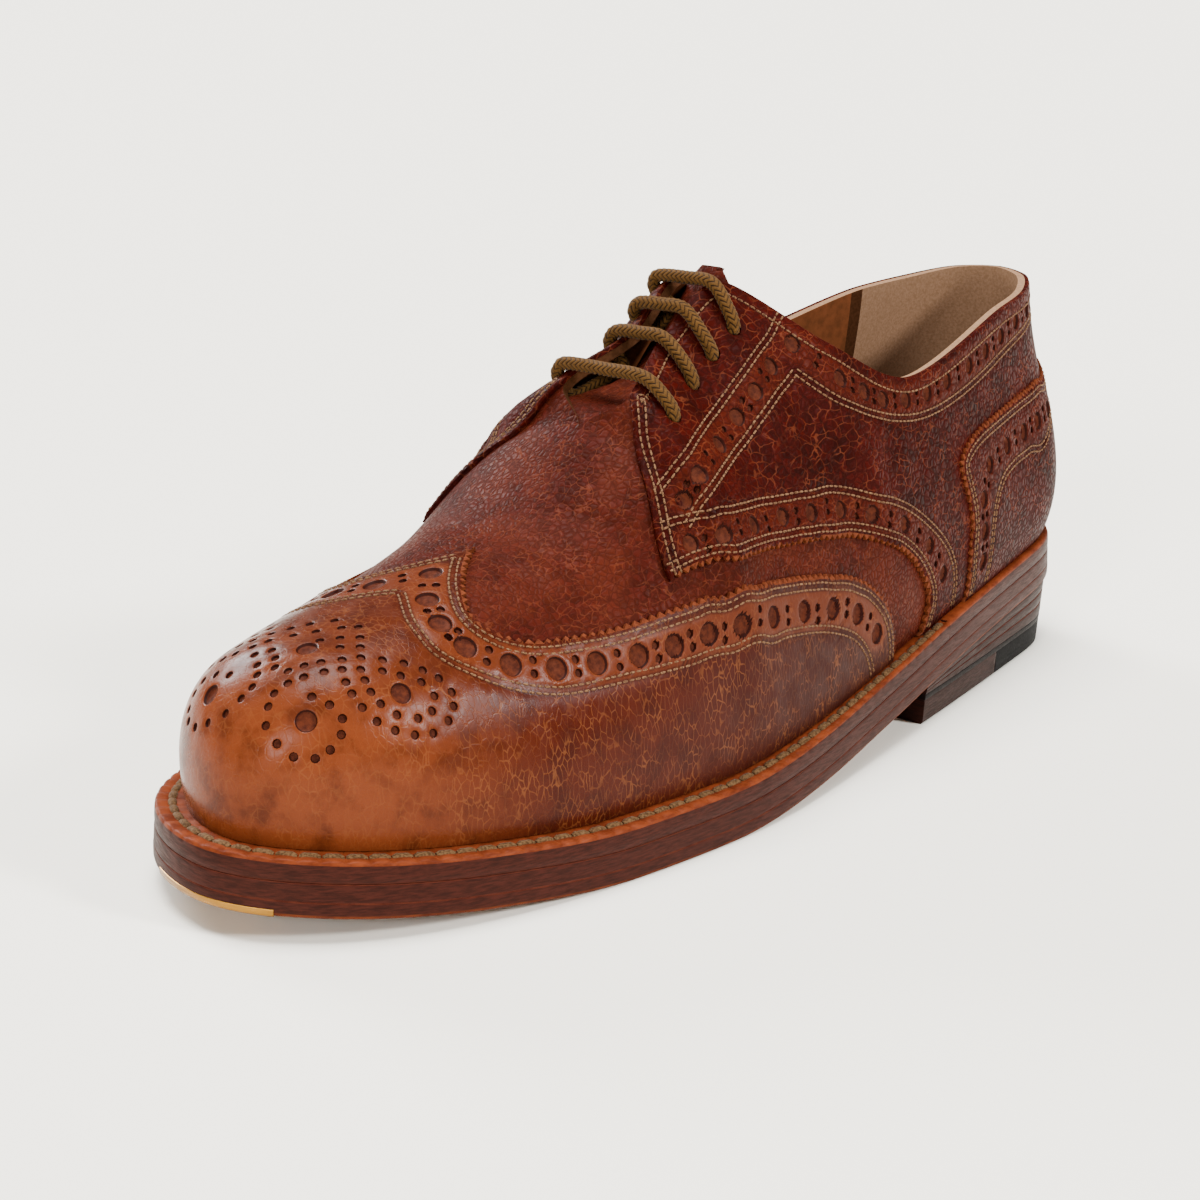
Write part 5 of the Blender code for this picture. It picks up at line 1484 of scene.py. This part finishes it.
outsole_leathers = (edge_dyed, edge_line_pale, sole_bare, edge_low)
outsole = sole_layer("outsole_trimmed", OUTSOLE_EDGE, outsole_leathers, "outsole")
midsole = sole_layer("midsole_trimmed", MIDSOLE_EDGE, (edge_dyed, edge_line_pale), "midsole")


# %% Welt, heel rand and insole
WELT_END, WELT_UNDER = 0.305, 3.2            # share where the welt ends, how far it runs under the upper
WELT_PITCH = 4.6                             # length of one welt stitch
WELT_PRESS = (                               # share along a stitch, press of the lip there
    (0.0, 1.0), (0.10, 0.6), (0.24, 0.12), (0.5, 0.0), (0.76, 0.12), (0.90, 0.6),
)


def edge_strip(name, path, profile, materials, replaces):
    """A strip along the sole's edge with a closed profile; each corner gives inset, rise and material."""
    kinds = [pick for _, _, pick in profile(0.5, 0.0)]
    n = len(kinds)
    points = []
    for side, share, press in path:
        corners = profile(share, press)
        for inset, rise, _ in corners:
            plan = edge_line(side, np.array([share]), np.array([inset]))[0][0]
            points.append((*plan, float(tread(plan[0])) + rise))
    faces = between_rings(len(path), n)
    faces += [[k * n + i for i in range(n)] for k in (0, len(path) - 1)]
    picks = kinds * (len(path) - 1) + kinds[:1] * 2
    return make_piece(name, points, faces, materials, picks, joined=True, replaces=(replaces,))


def round_end(shares):
    """A path round the heel or the toe: along the outer side, then back along the inner side."""
    return [(OUTER, s, 0.0) for s in shares] + [(INNER, s, 0.0) for s in shares[::-1][1:]]


def stitch_inset(share):
    """Where the welt stitches run: near the middle of the lip."""
    return 0.9 + 0.5 * (float(feather_inset(share)) - 1.2)


def welt_joints(side):
    """Shares along the welt where one stitch ends and the next begins."""
    shares = np.linspace(WELT_END + 0.004, 1.0, 900)
    plan = edge_line(side, shares, np.array([stitch_inset(s) for s in shares]))[0]
    length = run_lengths(plan)
    count = int(round(length[-1] / WELT_PITCH))
    return np.interp(np.linspace(0, length[-1], count + 1), length, shares)


def welt_path():
    """Places along the welt; press is 1 in the notch between two stitches and 0 in the middle of one."""
    sides = []
    for side in (OUTER, INNER):
        joints = welt_joints(side)
        mine = [(side, WELT_END, 0.0)]
        for a, b in zip(joints, joints[1:]):
            for part, press in WELT_PRESS:
                mine.append((side, a + (b - a) * part, press))
        sides.append(mine)
    return sides[0] + [(OUTER, 1.0, 1.0)] + sides[1][::-1]


def welt_profile(share, press):
    under = float(feather_inset(share)) + WELT_UNDER
    row = stitch_inset(share)
    return [(under, 7.36, 2), (0.62, 7.36, 1), (0.42, 7.60, 2), (0.40, 9.2, 2), (0.46, 10.4, 2),
            (0.50 + 0.10 * press, 11.2, 0), (0.72 + 0.18 * press, 11.85 - 0.25 * press, 0),
            (1.15, 12.12 - 0.42 * press, 0), (row - 0.95, 12.05 - 0.42 * press, 0), (row - 0.5, 11.70, 0),
            (row + 0.5, 11.70, 0), (row + 0.95, 12.05 - 0.2 * press, 0), (under, 12.12, 0)]


def rand_profile(share, press):
    under = float(feather_inset(share)) + WELT_UNDER
    return [(under, 7.36, 2), (0.62, 7.36, 1), (0.42, 7.60, 2), (0.44, 9.4, 2), (0.55, 11.0, 0),
            (0.9, 11.85, 0), (1.5, 12.12, 0), (under, 12.12, 0)]


welt = edge_strip("welt_strip", welt_path(), welt_profile, (welt_wax, edge_line_pale, edge_dyed), "welt")
rand = edge_strip("heel_rand_strip", round_end(np.linspace(WELT_END - 0.0006, 0.0, 90)), rand_profile,
                  (welt_wax, edge_line_pale, edge_dyed), "heel_rand")


INSOLE_EDGE = ((3.3, 7.4), (3.3, 13.0), (3.9, 13.75), (6.0, 13.9))   # inside the feather line, rise


def make_insole():
    shares = np.linspace(0, 1, INSOLE_COUNT + 1)
    rings = [sole_loop(shares, feather_inset(shares) + more, rise) for more, rise in INSOLE_EDGE]
    size = len(rings[0])
    faces = between_rings(len(rings), size)
    for k in (0, len(rings) - 1):
        faces += across_loop(k * size, size, INSOLE_COUNT)
    return make_piece("insole_board", np.vstack(rings), faces, (insole_tan,), joined=True,
                      replaces=("insole",))


insole = make_insole()

# %% Heel
HEEL_BREAST = 97.0
HEEL_INSET_TOP, HEEL_INSET_FOOT, TOP_PIECE = 0.6, 1.6, 6.4
RUBBER_CUT = ((-6.0, 22.0), (66.0, -46.0))   # line across the top piece, station and y


def heel_plan(inset, count=90):
    """The heel in plan: outer side from the breast to the back, inner side to the breast."""
    out = []
    for side in (OUTER, INNER):
        fine = np.linspace(0, 0.5, 400)
        line = edge_line(side, fine, np.full(400, inset))[0]
        stop = np.interp(HEEL_BREAST, np.maximum.accumulate(line[:, 0]), fine)
        share = stop * (1 - np.linspace(0, 1, count))
        out.append(edge_line(side, share, np.full(count, inset))[0])
    return np.vstack((out[0], out[1][::-1][1:]))


def heel_block(name, levels, materials, replaces):
    """Heel lifts from rings: inset, share of the height up to the outsole, material above the ring."""
    points = []
    for inset, share, floor, _ in levels:
        plan = heel_plan(inset)
        high = tread(plan[:, 0])
        points.append(np.c_[plan, floor + (high - floor) * share])
    size = len(points[0])
    faces = between_rings(len(levels), size)
    picks = [level[3] for level in levels[:-1] for _ in range(size)]
    half = size // 2
    for k in (0, len(levels) - 1):
        for i in range(half):
            quad = (k * size + i, k * size + i + 1, k * size + size - 2 - i, k * size + size - 1 - i)
            faces.append(list(dict.fromkeys(quad)))
            picks.append(levels[k][3])
    return make_piece(name, np.vstack(points), faces, materials, picks, joined=True, replaces=(replaces,))


def lift_levels():
    """Rings of the stacked lifts: a thin black lift at the foot, then three lifts with fine joints."""
    out = [(1.30, 0.0, TOP_PIECE + 0.05, 1), (1.22, 0.005, TOP_PIECE + 0.3, 1),
           (1.22, 0.0, TOP_PIECE + 1.3, 1), (1.34, 0.0, TOP_PIECE + 1.45, 0),
           (1.16, 0.0, TOP_PIECE + 1.65, 0)]
    floor = TOP_PIECE + 1.65
    for k in range(3):
        a, b = k / 3, (k + 1) / 3
        inset = 1.16 - 0.5 * b
        out += [(inset + 0.1, a + 0.04, floor, 0), (inset, b - 0.035, floor, 2),
                (inset + 0.16, b - 0.012, floor, 0)]
    return out + [(HEEL_INSET_TOP + 0.3, 1.0, floor, 0)]


heel_stack = heel_block("heel_lifts", lift_levels(), (heel_dyed, heel_black, edge_line_pale), "heel_stack")


# %% Top lift with its rubber corner
TOP_LIFT_EDGE = (                            # inset, height
    (HEEL_INSET_FOOT + 0.5, 0.0), (HEEL_INSET_FOOT, 0.5), (1.45, 3.2), (1.32, 5.9), (1.5, TOP_PIECE),
)
TOP_LIFT_COUNT = 200


def clip_plan(plan, keep):
    """The part of a closed plan on one side of the rubber cut."""
    a, b = np.array(RUBBER_CUT)
    along = (b - a) / np.linalg.norm(b - a)
    across = np.array((-along[1], along[0])) * keep
    d = (plan - a) @ across
    out = []
    for i in range(len(plan)):
        j = (i + 1) % len(plan)
        if d[i] > 0:
            out.append(plan[i])
        if (d[i] > 0) != (d[j] > 0):
            out.append(plan[i] + (plan[j] - plan[i]) * d[i] / (d[i] - d[j]))
    return np.array(out)


def top_lift(name, keep, material, replaces):
    """One part of the top lift, standing on the floor."""
    count, rings = TOP_LIFT_COUNT, []
    for inset, height in TOP_LIFT_EDGE:
        loop = clip_plan(heel_plan(inset), keep)
        full = np.vstack((loop, loop[:1]))
        length = run_lengths(full)
        even = along_line(full, length, np.linspace(0, length[-1], count, endpoint=False))
        rings.append(np.c_[even, np.full(count, height)])
    faces = between_rings(len(rings), count)
    for k in (0, len(rings) - 1):
        flat = rings[k][:, :2]
        made = triangles(flat, closed_edges(0, count), lambda mid: inside(mid, flat))
        faces += [list(f + k * count) for f in made]
    return make_piece(name, np.vstack(rings), faces, (material,), joined=True, replaces=(replaces,))


top_piece = top_lift("heel_top_lift", 1, heel_dyed, "heel_top_piece")
rubber = top_lift("heel_rubber_corner", -1, tread_rubber, "heel_rubber")

# %% Toe plate
TOE_PLATE_FROM, TOE_PLATE_REACH = 0.95, 13.0


def plate_profile(share, press):
    part = (1 - share) / (1 - TOE_PLATE_FROM)
    reach = 1.2 + (TOE_PLATE_REACH - 1.2) * (1 - min(part, 1.0) ** 2)
    return [(reach, -0.12, 0), (0.15, -0.12, 0), (-0.12, 0.1, 0), (-0.12, 1.35, 0), (0.1, 1.5, 0),
            (reach, 1.5, 0)]


plate_path = round_end(np.linspace(TOE_PLATE_FROM, 1.0, 60))
plate = edge_strip("toe_plate_let_in", plate_path, plate_profile, (brass,), "toe_plate")


# %% [markdown]
# ## Thread and lace
# Every stitch is a short capsule of thread that lies in its groove; thousands of them are made at
# once and joined. The lace is a round braid: its strands cross over and under, so the cord's surface
# shows rows of small chevrons. It is one cord from the lowest outer eyelet to the top outer eyelet, and
# both its ends lie under the facing.

# %% Stitches
def stitch_mesh(name, starts, stops, outs, radius, material, sides=6, wide=1.0):
    """Capsules of thread joined in one mesh; wide makes them flatter than round."""
    run = stops - starts
    length = np.linalg.norm(run, axis=1, keepdims=True)
    run = run / np.maximum(length, 1e-9)
    across = np.cross(outs, run)
    across /= np.linalg.norm(across, axis=1, keepdims=True)
    rise = np.cross(run, across)
    rings = ((0.0, 0.55, -0.30), (0.22, 1.0, 0.0), (0.78, 1.0, 0.0), (1.0, 0.55, -0.30))
    turn = np.linspace(0, 2 * math.pi, sides, endpoint=False)
    points = []
    for along, size, sink in rings:
        middle = starts + run * length * along + rise * sink * radius
        for t in turn:
            points.append(middle + radius * size * (wide * math.cos(t) * across + math.sin(t) * rise))
    count = len(points)
    points = np.stack(points, axis=1)
    first = np.arange(len(starts))[:, None] * count
    faces = []
    for k in range(len(rings) - 1):
        for i in range(sides):
            j = (i + 1) % sides
            quad = (k * sides + i, k * sides + j, (k + 1) * sides + j, (k + 1) * sides + i)
            faces.append(first + np.array(quad))
    walls = np.concatenate(faces).tolist()
    ends = (first + np.arange(sides)[::-1]).tolist()
    ends += (first + (len(rings) - 1) * sides + np.arange(sides)).tolist()
    return make_piece(name, points.reshape(-1, 3), walls + ends, (material,))


sewn_all = [np.vstack([row[k] for row in sewn]) for k in range(3)]
seam_thread = stitch_mesh("seam_stitches", *sewn_all, STITCH_RADIUS, linen)
WELT_THREAD, WELT_THREAD_WIDE = 0.55, 1.75   # radius, and how much wider than high a stitch lies
WELT_THREAD_RISE = 11.95


def welt_stitches():
    """Thick stitches along the welt lip, each from one notch to the next."""
    starts, stops, outs = [], [], []
    for side in (OUTER, INNER):
        shares = welt_joints(side)
        plan = edge_line(side, shares, np.array([stitch_inset(s) for s in shares]))[0]
        line = np.c_[plan, tread(plan[:, 0]) + WELT_THREAD_RISE]
        step = np.diff(line, axis=0)
        starts.append(line[:-1] + 0.04 * step)
        stops.append(line[1:] - 0.04 * step)
        outs.append(np.tile(UP, (len(step), 1)))
    places = [np.vstack(rows) for rows in (starts, stops, outs)]
    return stitch_mesh("welt_stitches", *places, WELT_THREAD, welt_linen, 8, WELT_THREAD_WIDE)


welt_thread = welt_stitches()

# %% Lace
LACE_RADIUS, LACE_OVER, LACE_UNDER, LACE_ARCH = 1.5, 2.3, -5.1, -0.2
LACE_STEP, LACE_AROUND = 0.24, 32
LACE_EDGE = 0.992                            # up where the cord bends over the facing's edge
BRAID_PITCH, BRAID_CHEVRONS = 1.3, 4         # one chevron along the cord, and how many lie round it
BRAID_SLANT, BRAID_RELIEF = 5.6, 0.10        # turn of the strand across a chevron, height of the strands


def lace_path():
    """One cord: four bars over the throat, joined under the facings from row to row."""
    def over(side, row, up, lift):
        return skin(side, np.array([EYELETS[side][row][0]]), np.array([up]), np.array([lift]))[0]

    path, side = [], OUTER
    for row in range(4):
        ends = []
        for face in (side, -side):
            up = EYELETS[face][row][1]
            bend = up + 0.4 * (LACE_EDGE - up)
            climb = ((up, LACE_UNDER + 1.2), (up, 0.6), (bend, LACE_OVER), (LACE_EDGE, LACE_OVER))
            ends.append([over(face, row, v, lift) for v, lift in climb])
        middle = (over(side, row, 1.0, LACE_OVER) + over(-side, row, 1.0, LACE_OVER)) / 2 + UP * LACE_ARCH
        path += ends[0] + [middle] + ends[1][::-1]
        side = -side
        if row < 3:
            here = over(side, row, EYELETS[side][row][1], LACE_UNDER)
            there = over(side, row + 1, EYELETS[side][row + 1][1], LACE_UNDER)
            run = (there - here) / np.linalg.norm(there - here)
            path += [here + run * 2.0, there - run * 2.0]
    return rounded(path, LACE_STEP)


def make_lace():
    path = lace_path()
    run = np.gradient(path, axis=0)
    run /= np.linalg.norm(run, axis=1, keepdims=True)
    across = np.zeros_like(path)
    across[0] = np.cross(run[0], (0.3, 0.5, 0.8))
    for i in range(1, len(path)):
        across[i] = across[i - 1] - run[i] * (across[i - 1] @ run[i])
        across[i] /= np.linalg.norm(across[i])
    across[0] = across[1]
    rise = np.cross(run, across)
    around = LACE_AROUND
    turn = np.linspace(0, 2 * math.pi, around, endpoint=False)
    along = np.arange(len(path)) * LACE_STEP
    strand = 2 * math.pi * along[:, None] / BRAID_PITCH
    zigzag = np.abs((turn * BRAID_CHEVRONS / (2 * math.pi)) % 1 * 2 - 1)
    over = np.cos(strand - BRAID_SLANT * zigzag)
    radius = LACE_RADIUS + BRAID_RELIEF * over
    points = path[:, None] + radius[..., None] * (np.cos(turn)[None, :, None] * across[:, None]
                                                  + np.sin(turn)[None, :, None] * rise[:, None])
    faces = between_rings(len(path), around)
    faces.append(list(range(around))[::-1])
    faces.append([(len(path) - 1) * around + i for i in range(around)])
    print("lace length in mm:", round(float(along[-1]), 1))
    layers = {"strand": (over.ravel() + 1) / 2}
    return make_piece("lace_braided", points.reshape(-1, 3), faces, (braid,), layers=layers,
                      replaces=("lace",))


lace = make_lace()

# %% Finish
bpy.context.view_layer.update()
